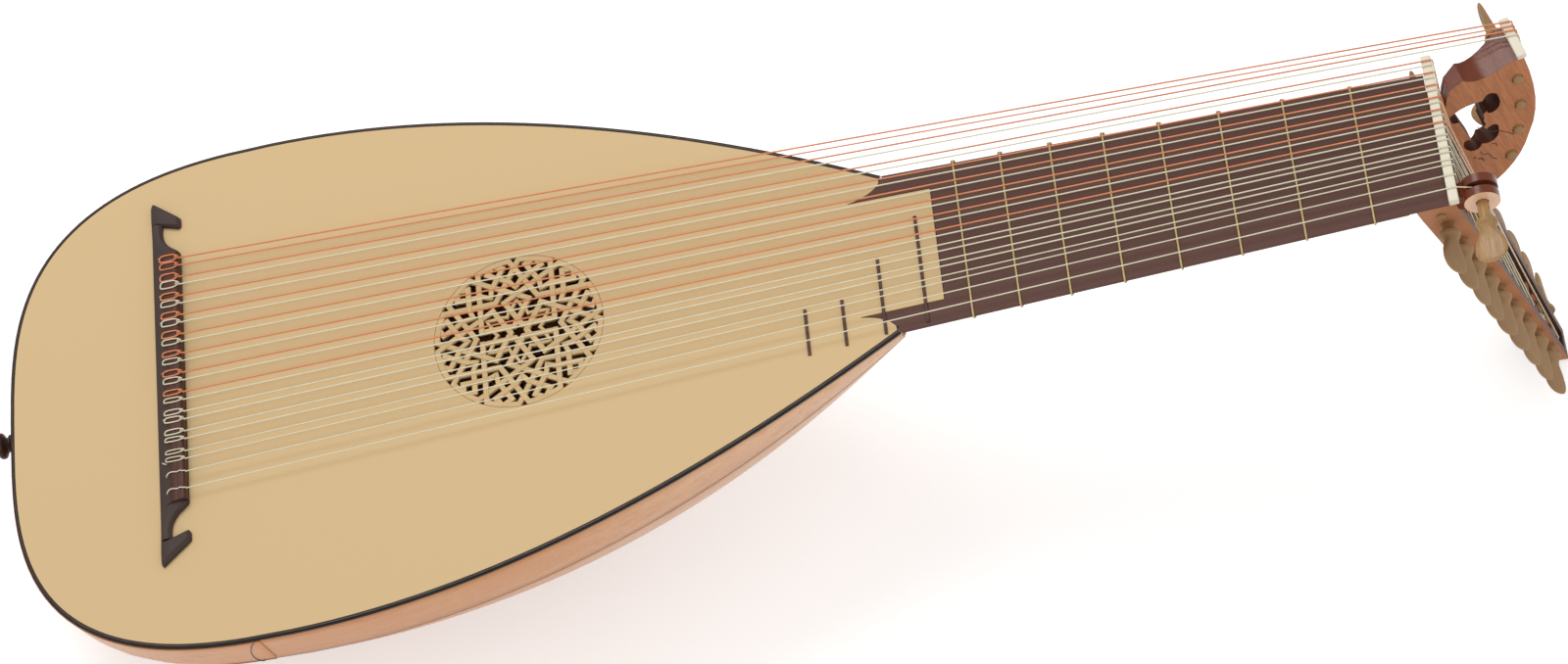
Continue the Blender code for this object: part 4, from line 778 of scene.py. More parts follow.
def make_soundboard():
    shape = bmesh.new()
    radius = sizes().rose_radius
    plate(shape, [board_outline(), circle(radius)], -BOARD, 0.0)
    for x in BAR_PLACES:
        half = min(body_half_width((x + side * 5) * MM) for side in (-1, 1)) - 1.6 * MM
        sag = math.sqrt(1 - (14 * MM / (body_depth(x * MM) - 1.6 * MM)) ** 2)
        reach = half * sag - 6 * MM
        bar(shape, ((x - 2.5) * MM, -reach, -BOARD - 14 * MM), ((x + 2.5) * MM, reach, -BOARD), 1)
    for number, (bass, treble) in enumerate(BODY_FRETS, start=9):
        x = STRING_LENGTH * 2 ** (-number / 12)
        bar(shape, (x - 0.9 * MM, treble * MM, 0.02 * MM), (x + 0.9 * MM, bass * MM, 0.88 * MM), 2)
    bars = wood("bar_spruce", woods().spruce, woods().spruce_line, (0, TILT, math.radians(90)), 0.6, 900)
    frets = wood("body_fret_wood", (0.095, 0.030, 0.016), (0.035, 0.010, 0.006), LUTE_TURN, 0.45, 1500, coat=0.0,
                 shine=0.3)
    piece = keep("soundboard_plate", finish_mesh("soundboard_plate", shape, 20), [spruce_material(), bars, frets],
                 "lute", ["soundboard"])
    rounded(piece, 0.18 * MM)


def make_rose():
    shape = bmesh.new()
    radius = sizes().rose_radius / MM
    ribbons = rose_ribbons(sizes().ribbon_width / MM / 2, radius)
    lines = []
    for pairs, kind in ribbons:
        middles = [(left + right) / 2 for left, right in pairs]
        lines.append((middles[0], middles[-1] if kind == "woven" and len(pairs) != 4 else middles[1]))
    woven = [k for k, (pairs, kind) in enumerate(ribbons) if kind == "woven"]
    heights = dict(zip(woven, crossings([lines[k] for k in woven])))
    for number, (pairs, kind) in enumerate(ribbons):
        add_ribbon(shape, pairs, heights.get(number, []), -0.12 if kind == "woven" else -0.3)
    width = sizes().ribbon_width / MM
    for turn in range(12):
        arc = []
        for k in range(13):
            angle = 30 * turn + 2.3 + (30 - 4.6) * k / 12
            arc.append(spun([(radius - width, 0.0), (radius + 0.1, 0.0)], angle))
        add_ribbon(shape, arc, [], -0.04)
    line_wood = plain("carved_edge", (0.50, 0.30, 0.11), 0.6)
    keep("rose_carving", finish_mesh("rose_carving", shape, 25), [spruce_material(), line_wood], "lute")
    groove = plain("incised_line", (0.33, 0.16, 0.055), 0.6)
    line = [(x, y, -0.05 * MM) for x, y in circle((radius + 0.2) * MM)]
    cord_lines("rose_incised_circle", [line], 0.14 * MM, groove, "lute", closed=True)


def make_edging():
    """Black edging with a thin brown line, its outer corner rounded."""
    profile = [(0.0, -1.8), (0.0, -0.6), (0.12, -0.22), (0.42, -0.02), (0.95, -0.01), (1.35, -0.01),
               (2.2, -0.02), (2.2, -1.8)]
    rows = []
    for inset, height in profile:
        rows.append([(x, y, height * MM) for x, y in both_sides(outline(inset * MM, JOINT_X - 0.5 * MM))])
    shape = skin(rows)
    count = len(rows[0]) - 1
    for number, face in enumerate(shape.faces):
        face.material_index = 1 if number // count == 4 else 0
    ebony = wood("edging_ebony", woods().ebony, (0.003, 0.002, 0.002), LUTE_TURN, 0.32, 1500, coat=0.0, shine=0.2)
    line = wood("edging_line_wood", woods().edging_line, (0.03, 0.012, 0.006), LUTE_TURN, 0.4, 1500, coat=0.0, shine=0.25)
    keep("edging_strip", finish_mesh("edging_strip", shape, 50), [ebony, line], "lute", ["edging"])


# The bowl

def section(x, grow=0.0):
    """The bowl's section at a place, as (y, depth) for each edge between ribs."""
    return [((body_half_width(x) + grow) * math.cos(math.pi * k / RIBS),
             (body_depth(x) + grow) * math.sin(math.pi * k / RIBS)) for k in range(RIBS + 1)]


def rib_fullness(x, rib):
    """How far a rib stands out of the flat between its edges; none on the rest or under the clasp."""
    if rib in (0, RIBS - 1) and x < CLASP_END_X:
        return 0.0
    away = (abs(x - (REST_START + REST_END) / 2) - 14 * MM) / (40 * MM)
    taper = min(1.0, max(0.0, (x - TAIL_X) / (25 * MM)))
    return 0.55 * MM * min(1.0, max(0.0, away)) * taper


def make_bowl():
    xs = stations(46)
    ribs = bmesh.new()
    seams = bmesh.new()
    across = 6
    half_seam = sizes().spacer_width / 2
    for rib in range(RIBS):
        rows = []
        for x in xs:
            points = section(x)
            (y0, d0), (y1, d1) = points[rib], points[rib + 1]
            wide = math.hypot(y1 - y0, d1 - d0)
            out = Vector((d1 - d0, -(y1 - y0)))
            out = out.normalized() if out.length else Vector((0, 1))
            if out.dot(Vector(((y0 + y1) / 2, (d0 + d1) / 2))) < 0:
                out = -out
            trim = min(half_seam / max(wide, 1e-6), 0.42)
            row = []
            for k in range(across + 1):
                share = trim + (1 - 2 * trim) * k / across
                full = rib_fullness(x, rib) * 4 * share * (1 - share)
                row.append((x, y0 + (y1 - y0) * share + out.x * full,
                            RIM_Z - (d0 + (d1 - d0) * share + out.y * full)))
            rows.append(row)
        skin(rows, shape=ribs)
    for edge in range(1, RIBS):
        rows = []
        for x in xs:
            points = section(x)
            y, d = points[edge]
            row = []
            for neighbour in (edge - 1, edge, edge + 1):
                if neighbour == edge:
                    row.append((x, y, RIM_Z - d))
                    continue
                step = Vector((points[neighbour][0] - y, points[neighbour][1] - d))
                share = min(half_seam / max(step.length, 1e-6), 0.42) * 1.04
                row.append((x, y + step.x * share, RIM_Z - d - step.y * share))
            rows.append(row)
        skin(rows, shape=seams)
    piece = keep("bowl_ribs", finish_mesh("bowl_ribs", ribs, 60), [rib_material()], "lute", ["bowl"])
    wall = piece.modifiers.new("rib_wall", "SOLIDIFY")
    wall.thickness = 1.5 * MM
    wall.offset = -1.0
    dark = wood("spacer_wood", woods().spacer, (0.02, 0.006, 0.004), LUTE_TURN, 0.35, 1500)
    piece = keep("bowl_spacers", finish_mesh("bowl_spacers", seams, 60), [dark], "lute")
    wall = piece.modifiers.new("spacer_wall", "SOLIDIFY")
    wall.thickness = 1.5 * MM
    wall.offset = -1.0


def level_y(x, depth, grow):
    """Half-width of the bowl at a place and depth, on the bass side."""
    points = section(x, grow)
    for (y0, d0), (y1, d1) in zip(points, points[1:RIBS // 2 + 1]):
        if d0 <= depth <= d1:
            return y0 + (y1 - y0) * (depth - d0) / (d1 - d0)
    return points[RIBS // 2][0]


def tail_x(depth, grow):
    """Where the tail's surface lies on the middle line at a depth."""
    low, high = TAIL_X, WIDEST_X
    for _ in range(40):
        middle = (low + high) / 2
        deep = section(middle, grow)[RIBS // 2][1]
        low, high = (middle, high) if deep < depth else (low, middle)
    return high - grow


def make_clasp():
    """The band bent round the tail over the ribs' ends."""
    rows = []
    grow = 0.62 * MM
    for level in range(11):
        depth = 0.4 * MM + (CLASP_DEPTH - 0.4 * MM) * level / 10
        start = tail_x(depth, grow)
        half = []
        for k in range(31):
            x = start + (CLASP_END_X - start) * (1 - math.cos(math.pi / 2 * k / 30))
            half.append((x, level_y(max(x + grow * (1 - k / 30), TAIL_X), depth, grow)))
        line = list(reversed(half)) + [(start, y * half[0][1]) for y in (0.5, 0, -0.5)] + [(x, -y) for x, y in half]
        rows.append([(x, y, RIM_Z + 0.4 * MM - depth) for x, y in line])
    piece = keep("end_clasp_band", finish_mesh("end_clasp_band", skin(rows), 50),
                 [rib_material("clasp_wood", False)],
                 "lute", ["end_clasp"])
    wall = piece.modifiers.new("clasp_wall", "SOLIDIFY")
    wall.thickness = 0.45 * MM
    wall.offset = -1.0
    dark = wood("spacer_wood", woods().spacer, (0.02, 0.006, 0.004), LUTE_TURN, 0.35, 1500)
    lines = [[Vector(point) for point in rows[-1]]]
    cord_lines("clasp_lower_line", lines, 0.22 * MM, dark, "lute")
    ends = []
    for side in (1, -1):
        curl = []
        for share, ahead in ((0.02, -3.0), (0.12, -5.2), (0.3, -7.6), (0.5, -9.5), (0.7, -10.4), (0.86, -10.2),
                             (0.97, -8.8), (1.0, -7.2), (0.955, -6.4)):
            depth = CLASP_DEPTH * share
            x = CLASP_END_X + ahead * MM
            curl.append((x, side * level_y(x, depth, grow), RIM_Z - depth))
        ends.append(smooth_line(curl, 4))
    cord_lines("clasp_end_curls", ends, 0.34 * MM, dark, "lute")


def turned(shape, profile, place, sides=40):
    """A turned solid from (radius, height) pairs, its axis along the place's Z."""
    rows = []
    for radius, height in profile:
        rows.append([place @ Vector((radius * math.cos(2 * math.pi * k / sides),
                                     radius * math.sin(2 * math.pi * k / sides), height)) for k in range(sides)])
    skin(rows, closed=True, shape=shape)


def make_button():
    points = [(3.5, -7.0), (3.5, 1.9), (5.5, 1.9), (5.6, 2.4), (4.4, 3.3), (4.2, 4.2), (5.2, 5.2), (6.9, 6.2),
              (7.5, 7.4), (7.3, 8.8), (5.8, 10.2), (3.4, 10.8), (0.02, 11.0)]
    line = smooth_line([(radius, 0.0, height) for radius, height in points[5:]], 4)
    profile = [(r * MM, h * MM) for r, h in points[:5]] + [(p.x * MM, p.z * MM) for p in line]
    shape = bmesh.new()
    place = Matrix.Translation((TAIL_X, 0, -BUTTON_DROP)) @ Matrix.Rotation(-math.pi / 2, 4, "Y")
    turned(shape, profile, place)
    keep("end_button_turned", finish_mesh("end_button_turned", shape, 40),
         [wood("button_ebony", (0.045, 0.016, 0.010), (0.010, 0.005, 0.004), LUTE_TURN, 0.28, 1500, coat=0.0, shine=0.3)],
         "lute", ["end_button"])


# Neck, nuts and pegbox

def fingerboard_material():
    return wood("rosewood", woods().fingerboard, woods().fingerboard_line, LUTE_TURN, 0.42, 900, 4, 170, 0.0, 0.85,
                shine=0.08)


def make_neck():
    neck = wood("neck_cherry", woods().neck, tuple(c * 0.5 for c in woods().neck), LUTE_TURN, 0.34, 1200, 8, 50, 0.3)
    dressed("neck", neck, 0.0, sharp=40)
    dressed("fingerboard", fingerboard_material(), 0.35 * MM)
    dressed("neck_block", wood("pine", (0.60, 0.42, 0.20), (0.42, 0.25, 0.10), LUTE_TURN, 0.6))
    dressed("neck_screw", plain("screw_steel", (0.42, 0.42, 0.43), 0.35, 0.08, 1.0), 0.2 * MM)


def make_nuts():
    bone = plain("bone", woods().bone, 0.34, 0.05, coat=0.15)
    for name in ("nut", "bass_nut"):
        dressed(name, bone, 0.2 * MM)


def faced(piece, materials, choose):
    """Give each face of a dressed piece one of several materials, by where it lies and faces."""
    for material in materials:
        piece.data.materials.append(material)
    turn = TO_LUTE.to_3x3()
    for face in piece.data.polygons:
        face.material_index = choose(TO_LUTE @ face.center, turn @ face.normal)


def pegbox_place(point):
    """(along, outwards) of a point in the pegbox's own directions, in millimetres."""
    c, s = math.cos(PEGBOX_ANGLE), math.sin(PEGBOX_ANGLE)
    x, z = point.x - NUT_BACK_X, point.z
    return (x * c - z * s) / MM, (x * s + z * c) / MM


def make_pegbox():
    def pegbox_part(centre, facing):
        along, out = pegbox_place(centre)
        half = 33.4 - 0.098 * along
        # Faces turned outwards along the cheeks' top edges take a pale painted highlight.
        if facing.x * math.sin(PEGBOX_ANGLE) + facing.z * math.cos(PEGBOX_ANGLE) > 0.9 and out > -3:
            return 2
        # Faces inside the pegbox take the painted shade.
        return 1 if abs(centre.y) / MM < half - 4.5 and out > -26 and along > 5 else 0

    def rider_part(centre, facing):
        if abs(facing.y) > 0.8:
            return 0
        along, out = pegbox_place(centre)
        # The piercing's walls and faces turned down take the painted shade.
        pierced = 20 < along < 61 and -6 < out < 27
        return 2 if pierced or facing.z < -0.2 else 1

    def chanterelle_part(centre, facing):
        if facing.y < -0.9 and centre.y < -38 * MM:
            return 1
        return 0

    # edge: a pale copy of the wood that paints the highlight on the cheeks' top edges.
    edge = wood("pegbox_edge_highlight", (0.640, 0.420, 0.290), (0.450, 0.230, 0.120), PEGBOX_TURN, 0.35, 900, 8, 60, 0.1, 0.5)
    faced(dressed("pegbox", pegbox_material(), 0.45 * MM),
          [inside_material(), edge], pegbox_part)
    faced(dressed("bass_rider", rider_material(), 0.35 * MM), [rim_material(), inside_material()],
          rider_part)
    pale = wood("chanterelle_end_wood", (0.900, 0.600, 0.400), (0.700, 0.380, 0.200), PEGBOX_TURN, 0.35, 1200, 20, 60, 0.3)
    faced(dressed("chanterelle_rider", rim_material(), 0.45 * MM), [pale], chanterelle_part)
    streaks = [[(42, 8.5), (46, 9.5), (50, 13), (54, 17.5), (58, 20.5), (62, 22.8)],
               [(61, 3.4), (64, 3.8), (66, 6.3), (70, 7.0), (73, 8.8)], [(60, 10.5), (62, 12.6), (63.6, 12.2)]]
    spots = [[(63, -1.0), (63.6, -0.6)], [(65.5, 0.5), (67, 2.2), (69, 2.4)]]
    dark = plain("mineral_streak", (0.075, 0.018, 0.008), 0.5)
    for number, (lines, radius) in enumerate(((streaks, 0.26), (spots, 0.4)), start=1):
        made = [[rider_surface(along, out) for along, out in line] for line in lines]
        cord_lines(f"rider_streak_{number}", [smooth_line(line, 4) for line in made], radius * MM, dark, "lute")


def rider_surface(along, out):
    """A point just inside the bass rider's treble face, found on its CAD node."""
    if not RIDER_PLANE:
        data = frame["nodes"]["bass_rider"].data
        turn = TO_LUTE.to_3x3()
        flat = [face for face in data.polygons if (turn @ face.normal).y < -0.8]
        largest = max(flat, key=lambda face: face.area)
        RIDER_PLANE.extend([TO_LUTE @ largest.center, turn @ largest.normal])
    centre, normal = RIDER_PLANE
    c, s = math.cos(PEGBOX_ANGLE), math.sin(PEGBOX_ANGLE)
    x = NUT_BACK_X + (along * c + out * s) * MM
    z = (-along * s + out * c) * MM
    y = centre.y - (normal.x * (x - centre.x) + normal.z * (z - centre.z)) / normal.y
    return (x, y, z)


RIDER_PLANE = []


# Pegs

def peg_sections(neck):
    """(along, half-width, half-thickness) from the shaft's end to the head's top."""
    points = [(-0.5, 3.4, 3.4), (0.0, 5.6, 5.3), (0.8, 6.3, 5.8), (2.6, 6.0, 5.1), (3.4, 5.5, 4.2), (5.7, 5.1, 3.4),
              (8.3, 6.1, 3.05), (12.0, 7.9, 2.6), (16.3, 8.95, 2.05), (19.0, 9.0, 1.75), (22.0, 8.0, 1.4),
              (24.0, 5.9, 1.1), (24.8, 3.6, 0.85), (25.0, 1.3, 0.5)]
    return [tuple(p) for p in smooth_line([(neck + along, half, deep) for along, half, deep in points], 3)]


def make_one_peg(name):
    joint = JOINTS[name + "_turn"]
    seat = Vector(joint["pos_m"])
    outward = Vector(joint["axis"]).normalized()
    vertices = [v.co - seat for v in frame["nodes"][name].data.vertices]
    tip = min(v.dot(outward) for v in vertices)
    top = max(v.dot(outward) for v in vertices)
    head = [v - outward * v.dot(outward) for v in vertices if v.dot(outward) > top - 14 * MM]
    wide = max(head, key=lambda v: v.length).normalized()
    thin = outward.cross(wide)
    neck = (top - 25 * MM) / MM
    at_tip = PEG_RADIUS / MM + tip / MM * PEG_TAPER
    shaft = [(tip / MM, at_tip * 0.86, at_tip * 0.86), (tip / MM + 0.35, at_tip, at_tip)]
    sides = 28
    rows = []
    for along, half, deep in shaft + peg_sections(neck):
        flat = min(1.0, max(0.0, (along - neck - 3.5) / 5.0))
        row = []
        for k in range(sides):
            angle = 2 * math.pi * k / sides
            power = 1.0 - 0.22 * flat
            cos, sin = math.cos(angle), math.sin(angle)
            u = math.copysign(abs(cos) ** power, cos) * half
            v = math.copysign(abs(sin) ** (1.0 + 0.15 * flat), sin) * deep
            share = u / half
            hollow = max(0.0, 1 - ((along - neck - 14 - 3.5 * share) / 8.5) ** 2) * max(0.0, 1 - (share / 0.82) ** 2)
            v *= 1 - 0.32 * flat * hollow ** 0.7
            row.append(seat + (outward * along + wide * u + thin * v) * MM)
        rows.append(row)
    shape = skin(rows, closed=True, caps=True)
    keep(name + "_carved", finish_mesh(name + "_carved", shape, 50, in_world=True), 
         [peg_material(name == "chanterelle_peg")], name, [name])


def peg_names():
    return sorted(name[:-5] for name in JOINTS if name.endswith("_turn"))


def make_pegs():
    for name in peg_names():
        make_one_peg(name)


# Bridge

def to_lute(points):
    return [(x * MM, y * MM, z * MM) for x, y, z in points]


def bridge_hook(shape, side):
    """One hooked end: a hollowed arm with three facets, then a bevelled blade."""
    end = BRIDGE_CENTRE_Y + side * BRIDGE_HALF_LENGTH
    arm = [((0.0, 1.2), (-10.6, 0.0, 5.9), (-5.2, 0.0, 4.9), (-2.0, 0.0, 3.4)),
           ((3.5, 1.2), (-12.6, 3.2, 5.2), (-7.2, 3.2, 4.5), (-4.4, 2.5, 2.9)),
           ((8.0, 1.2), (-14.6, 8.0, 4.6), (-10.6, 7.2, 4.1), (-8.6, 6.2, 2.6)),
           ((12.5, 1.3), (-15.7, 12.5, 4.2), (-13.0, 11.8, 3.8), (-11.4, 11.0, 2.4)),
           ((17.0, 1.5), (-16.2, 17.0, 4.0), (-14.0, 16.4, 3.7), (-12.4, 16.0, 2.4)),
           ((21.6, 1.8), (-16.4, 21.6, 4.0), (-14.0, 21.3, 3.7), (-12.2, 20.9, 2.4))]
    columns = [[(BRIDGE_BACK, y, z) for (y, z), *_ in arm]]
    columns += [[station[k] for station in arm] for k in (1, 2, 3)]
    columns = [smooth_line(column, 4) for column in columns]
    rows = []
    for back, ridge, crease, inner in zip(*columns):
        row = [(back.x, back.y, 0.3), back, ridge, crease, inner, (inner.x, inner.y, 0.3)]
        rows.append([((p[0]) * MM, (end + side * p[1]) * MM, p[2] * MM) for p in row])
    skin(rows, closed=True, shape=shape, caps=True)
    blade = [(-18.7, 21.6, 36.0, 0.55), (-17.6, 21.5, 37.5, 0.8), (-15.0, 21.6, 35.3, 1.0), (-12.2, 20.8, 33.0, 1.0),
             (-7.4, 19.2, 29.0, 1.0), (-3.4, 17.9, 25.7, 1.0), (-2.6, 17.6, 25.0, 0.86), (-1.4, 19.0, 24.0, 0.55)]
    rows = []
    for x, inner, outer, height in blade:
        profile = [(inner, 0.3), (inner, 2.5 * height), (inner + 1.1, 3.7 * height), (inner + (outer - inner) * 0.4, 4.2 * height),
                   (outer - 2.4, 4.1 * height), (outer, 2.2 * height), (outer, 0.3)]
        rows.append([(x * MM, (end + side * y) * MM, z * MM) for y, z in profile])
    skin(rows, closed=True, shape=shape, caps=True)


def make_bridge():
    """The bridge: a sloping back, a flat top strip under the loops and a hook at each end."""
    shape = bmesh.new()
    for side in (1, -1):
        bridge_hook(shape, side)
    profile = [(-18.7, 0.3), (-18.7, 1.2), (-16.2, 2.7), (-13.6, 4.5), (-11.4, 6.1), (-10.75, 6.45), (-10.6, 6.95),
               (-10.2, 7.0), (-3.7, 7.0), (-2.7, 6.6), (-2.1, 5.8), (-2.0, 4.4), (-2.0, 0.3)]
    rows = []
    for way in (-1, 1):
        row = []
        for x, z in profile:
            slant = 1.5 * (BRIDGE_FRONT - x) / (BRIDGE_FRONT - BRIDGE_STEP) if x > -10.7 else 1.5
            row.append((x * MM, (BRIDGE_CENTRE_Y + way * (BRIDGE_HALF_LENGTH + slant - 0.7)) * MM, z * MM))
        rows.append(row)
    before = len(shape.faces)
    skin(rows, closed=True, shape=shape, caps=True)
    shape.faces.ensure_lookup_table()
    for number, face in enumerate(shape.faces[before:]):
        face.material_index = 1 if 6 <= number <= 10 else 0
    across = (0, TILT, math.radians(90))
    body = wood("bridge_wood", woods().bridge, tuple(c * 0.5 for c in woods().bridge), across, 0.36, 1300, 8, 90, 0.0, 0.7,
                shine=0.14)
    cap = wood("bridge_top_wood", woods().bridge_cap, (0.040, 0.012, 0.008), across, 0.38, 900, 5, 260, 0.0, 0.85, shine=0.16)
    piece = keep("bridge_carved", finish_mesh("bridge_carved", shape, 24), [body, cap], "lute", ["bridge"])
    rounded(piece, 0.18 * MM)


# Strings

def centre_line(name):
    """The middle line of a string's tube, from one end to the other, in the lute's frame."""
    shape = bmesh.new()
    shape.from_mesh(frame["nodes"][name].data)
    bmesh.ops.remove_doubles(shape, verts=shape.verts, dist=0.002 * MM)
    seen, edge = set(), [next(iter(shape.verts))]
    last = edge[0]
    while edge:
        last = edge[-1]
        seen.update(edge)
        edge = list(dict.fromkeys(e.other_vert(v) for v in edge for e in v.link_edges
                                  if e.other_vert(v) not in seen))
    ring = [v for v in shape.verts if (v.co - last.co).length < 0.9 * MM]
    seen, line = set(), []
    while ring:
        seen.update(ring)
        middle = sum((v.co for v in ring), Vector()) / len(ring)
        line.append(TO_LUTE @ middle)
        ring = list(dict.fromkeys(e.other_vert(v) for v in ring for e in v.link_edges
                                  if e.other_vert(v) not in seen))
    shape.free()
    return line


def string_lines():
    """(number, line from the bridge to the peg) for every string, from the bass side."""
    found = []
    for course in range(1, COURSES + 1):
        line = centre_line(f"course_{course:02d}")
        behind = [k for k, point in enumerate(line) if point.x < -5 * MM]
        runs = [list(reversed(line[:behind[0] + 1])), line[behind[-1]:]]
        runs = [run for run in runs if len(run) > 2]
        runs.sort(key=lambda run: -run[0].y)
        first = 25 - course if course < 3 else 2 * (COURSES - course) + 1
        found += [(first + k, run) for k, run in enumerate(runs)]
    return sorted(found)


def tie(start, radius, number):
    """A string's tie: a long loop over the bridge's top, a knot in front and a tag end."""
    y = start.y / MM
    thick = radius / MM
    top = BRIDGE_TOP + thick * 1.15
    reach = sizes().loop_length / MM
    front = BRIDGE_FRONT - 0.1
    if number > 22:
        wave = [(front - reach, y - 1.5, top - 1.6), (front - reach + 0.5, y - 0.9, top - 0.6),
                (front - reach + 2.0, y + 0.1, top), (front - reach * 0.62, y + 0.25, top + 0.1),
                (front - reach * 0.42, y - 0.1, top), (front - reach * 0.24, y + 0.2, top + 0.3), (front - 1.4, y - 0.2, top),
                (front - 0.3, y + 0.1, top - 0.5), (front + 0.5, y, BRIDGE_TOP - 1.4)]
        return [smooth_line(to_lute(wave), 5)], []
    wide = 2.25 - 0.95 * (number - 1) / 21 + 0.18 * math.sin(5.0 * number)
    tilt = 0.25 * math.sin(3.1 * number)
    loop = []
    for x, share, height in ((0.0, 0.0, -0.35), (-1.4, -0.62, 0.0), (-3.0, -0.93, 0.0), (-5.6, -1.0, 0.0), (-8.2, -0.96, 0.0),
                             (1 - reach, -0.84, -0.15), (0.2 - reach, -0.45, -0.6), (-reach, 0.0, -0.95),
                             (0.2 - reach, 0.5, -0.6), (1 - reach, 0.86, -0.15), (-8.2, 1.0, 0.0), (-5.6, 1.0, 0.0),
                             (-3.0, 0.93, 0.0), (-1.4, 0.62, 0.0)):
        loop.append((front + x, y + share * wide + tilt * x / reach, top + height))
    knot = [(front - 1.5, y - 0.45 * wide, top + thick * 1.5), (front - 0.7, y + 0.25, top + thick * 1.9),
            (front - 0.1, y + 0.45, top + thick * 0.7), (front + 0.1, y - 0.1, top - 0.9), (front + 0.6, y, BRIDGE_TOP - 1.5)]
    tags = []
    if number in (1, 5, 8, 13, 18, 22):
        drop = (BRIDGE_TOP - 2.2, 1.0) if number != 22 else (BRIDGE_TOP - 3.2, 2.6)
        tags = [[(front - reach + 0.2, y - 1.9 if number == 22 else y + 1.6, BRIDGE_TOP - 0.5),
                 (front - reach - drop[1], y - 1.9 + drop[1] if number == 22 else y + 2.1, drop[0] + 0.6)]]
    return [smooth_line(to_lute(loop), 3, closed=True)], [smooth_line(to_lute(knot), 4)] + [to_lute(tag) for tag in tags]


def winding(end, before, radius):
    """Turns of a string round the peg it ends on, as (peg's name, line in the world)."""
    end_world, before_world = LUTE @ end, LUTE @ before

    def offset(name):
        seat, axis = Vector(JOINTS[name + "_turn"]["pos_m"]), Vector(JOINTS[name + "_turn"]["axis"])
        away = end_world - seat
        return (away - axis * away.dot(axis)).length

    name = min(peg_names(), key=offset)
    seat, axis = Vector(JOINTS[name + "_turn"]["pos_m"]), Vector(JOINTS[name + "_turn"]["axis"])
    along = (end_world - seat).dot(axis)
    arm = end_world - seat - axis * along
    start_radius = arm.length
    arm.normalize()
    side = axis.cross(arm)
    sign = 1 if side.dot(end_world - before_world) > 0 else -1
    line = []
    turns = sizes().peg_turns
    steps = int(20 * turns)
    for k in range(steps + 1):
        angle = 2 * math.pi * turns * k / steps
        place = along - 2.15 * radius * turns * k / steps
        close = PEG_RADIUS + place * PEG_TAPER + radius
        reach = close + (start_radius - close) * max(0.0, 1 - angle / 1.5)
        line.append(seat + axis * place + (arm * math.cos(angle) + side * sign * math.sin(angle)) * reach)
    return name, line


def make_strings():
    copper = string_material("copper_string", woods().copper, 0.36)
    ivory = string_material("ivory_string", woods().ivory, 0.34)
    lines = string_lines()
    for number, line in lines:
        is_copper = number < 17 and number % 2 == 1 or number == 2
        radius = sizes().copper_radius if is_copper else sizes().ivory_radius
        if number > 20 or number == 2:
            radius *= 0.85
        material = copper if is_copper else ivory
        course = COURSES - (number - 1) // 2 if number < 23 else 25 - number
        loops, fronts = tie(line[0], radius, number)
        run = [(line[2].x - 2.5 * MM, line[2].y, line[2].z)] + line[2:]
        keeps = [f"course_{course:02d}"]
        cord_lines(f"string_{number:02d}", [run] + fronts, radius, material, "lute", keeps)
        cord_lines(f"string_{number:02d}_loop", loops, radius, material, "lute", closed=number < 23)
        peg, turns = winding(line[-1], line[-2], radius)
        cord_lines(f"string_{number:02d}_turns", [turns], radius, material, peg, in_world=True)


def make_frets():
    """Tied gut frets: two turns round neck and fingerboard with a knot at the bass edge."""
    gut = string_material("fret_gut", woods().fret, 0.4)
    radius = sizes().fret_radius
    for number in range(1, 9):
        x = STRING_LENGTH * 2 ** (-number / 12)
        half = neck_half_width(x - 4 * MM)
        depth = NECK_ROUNDNESS * half
        curve = (half ** 2 + depth ** 2) / (2 * depth)
        away = GAP + radius
        loop = [(x, half - 3 * MM, away), (x, 0, away), (x, 3 * MM - half, away), (x, -half - away * 0.7, away * 0.7),
                (x, -half - away, -BOARD)]
        for k in range(1, 24):
            reach = -half + 2 * half * k / 24
            down = math.sqrt(curve ** 2 - reach ** 2) - (curve - depth)
            out = Vector((reach, down + curve - depth)).normalized() * away
            loop.append((x, reach + out.x, RIM_Z - down - out.y))
        loop += [(x, half + away, -BOARD), (x, half + away * 0.7, away * 0.7)]
        knot = [(x + dx * MM, half + away + dy * MM, dz * MM)
                for dx, dy, dz in ((-1.2, 0.5, -3.0), (0.6, 0.9, -2.2), (1.0, 0.7, -1.2), (-0.8, 1.0, -1.0),
                                   (-0.9, 0.6, -2.4), (0.7, 0.8, -3.1), (1.5, 0.9, -4.2))]
        cord_lines(f"fret_{number}_gut", [loop], radius, gut, f"fret_{number}", [f"fret_{number}"],
                   closed=True)
        cord_lines(f"fret_{number}_knot", [smooth_line(knot, 4)], radius * 0.8, gut, f"fret_{number}")


# Floor, light and camera

CAMERA_PLACE = (729.0 * MM, -1471.2 * MM, 2231.4 * MM)
CAMERA_ROWS = ((0.96871257, -0.09322069, -0.23001275), (-0.20064776, -0.83962102, -0.50475441),
               (-0.14606998, 0.53511349, -0.83205596))
CAMERA_LENS = 113.64


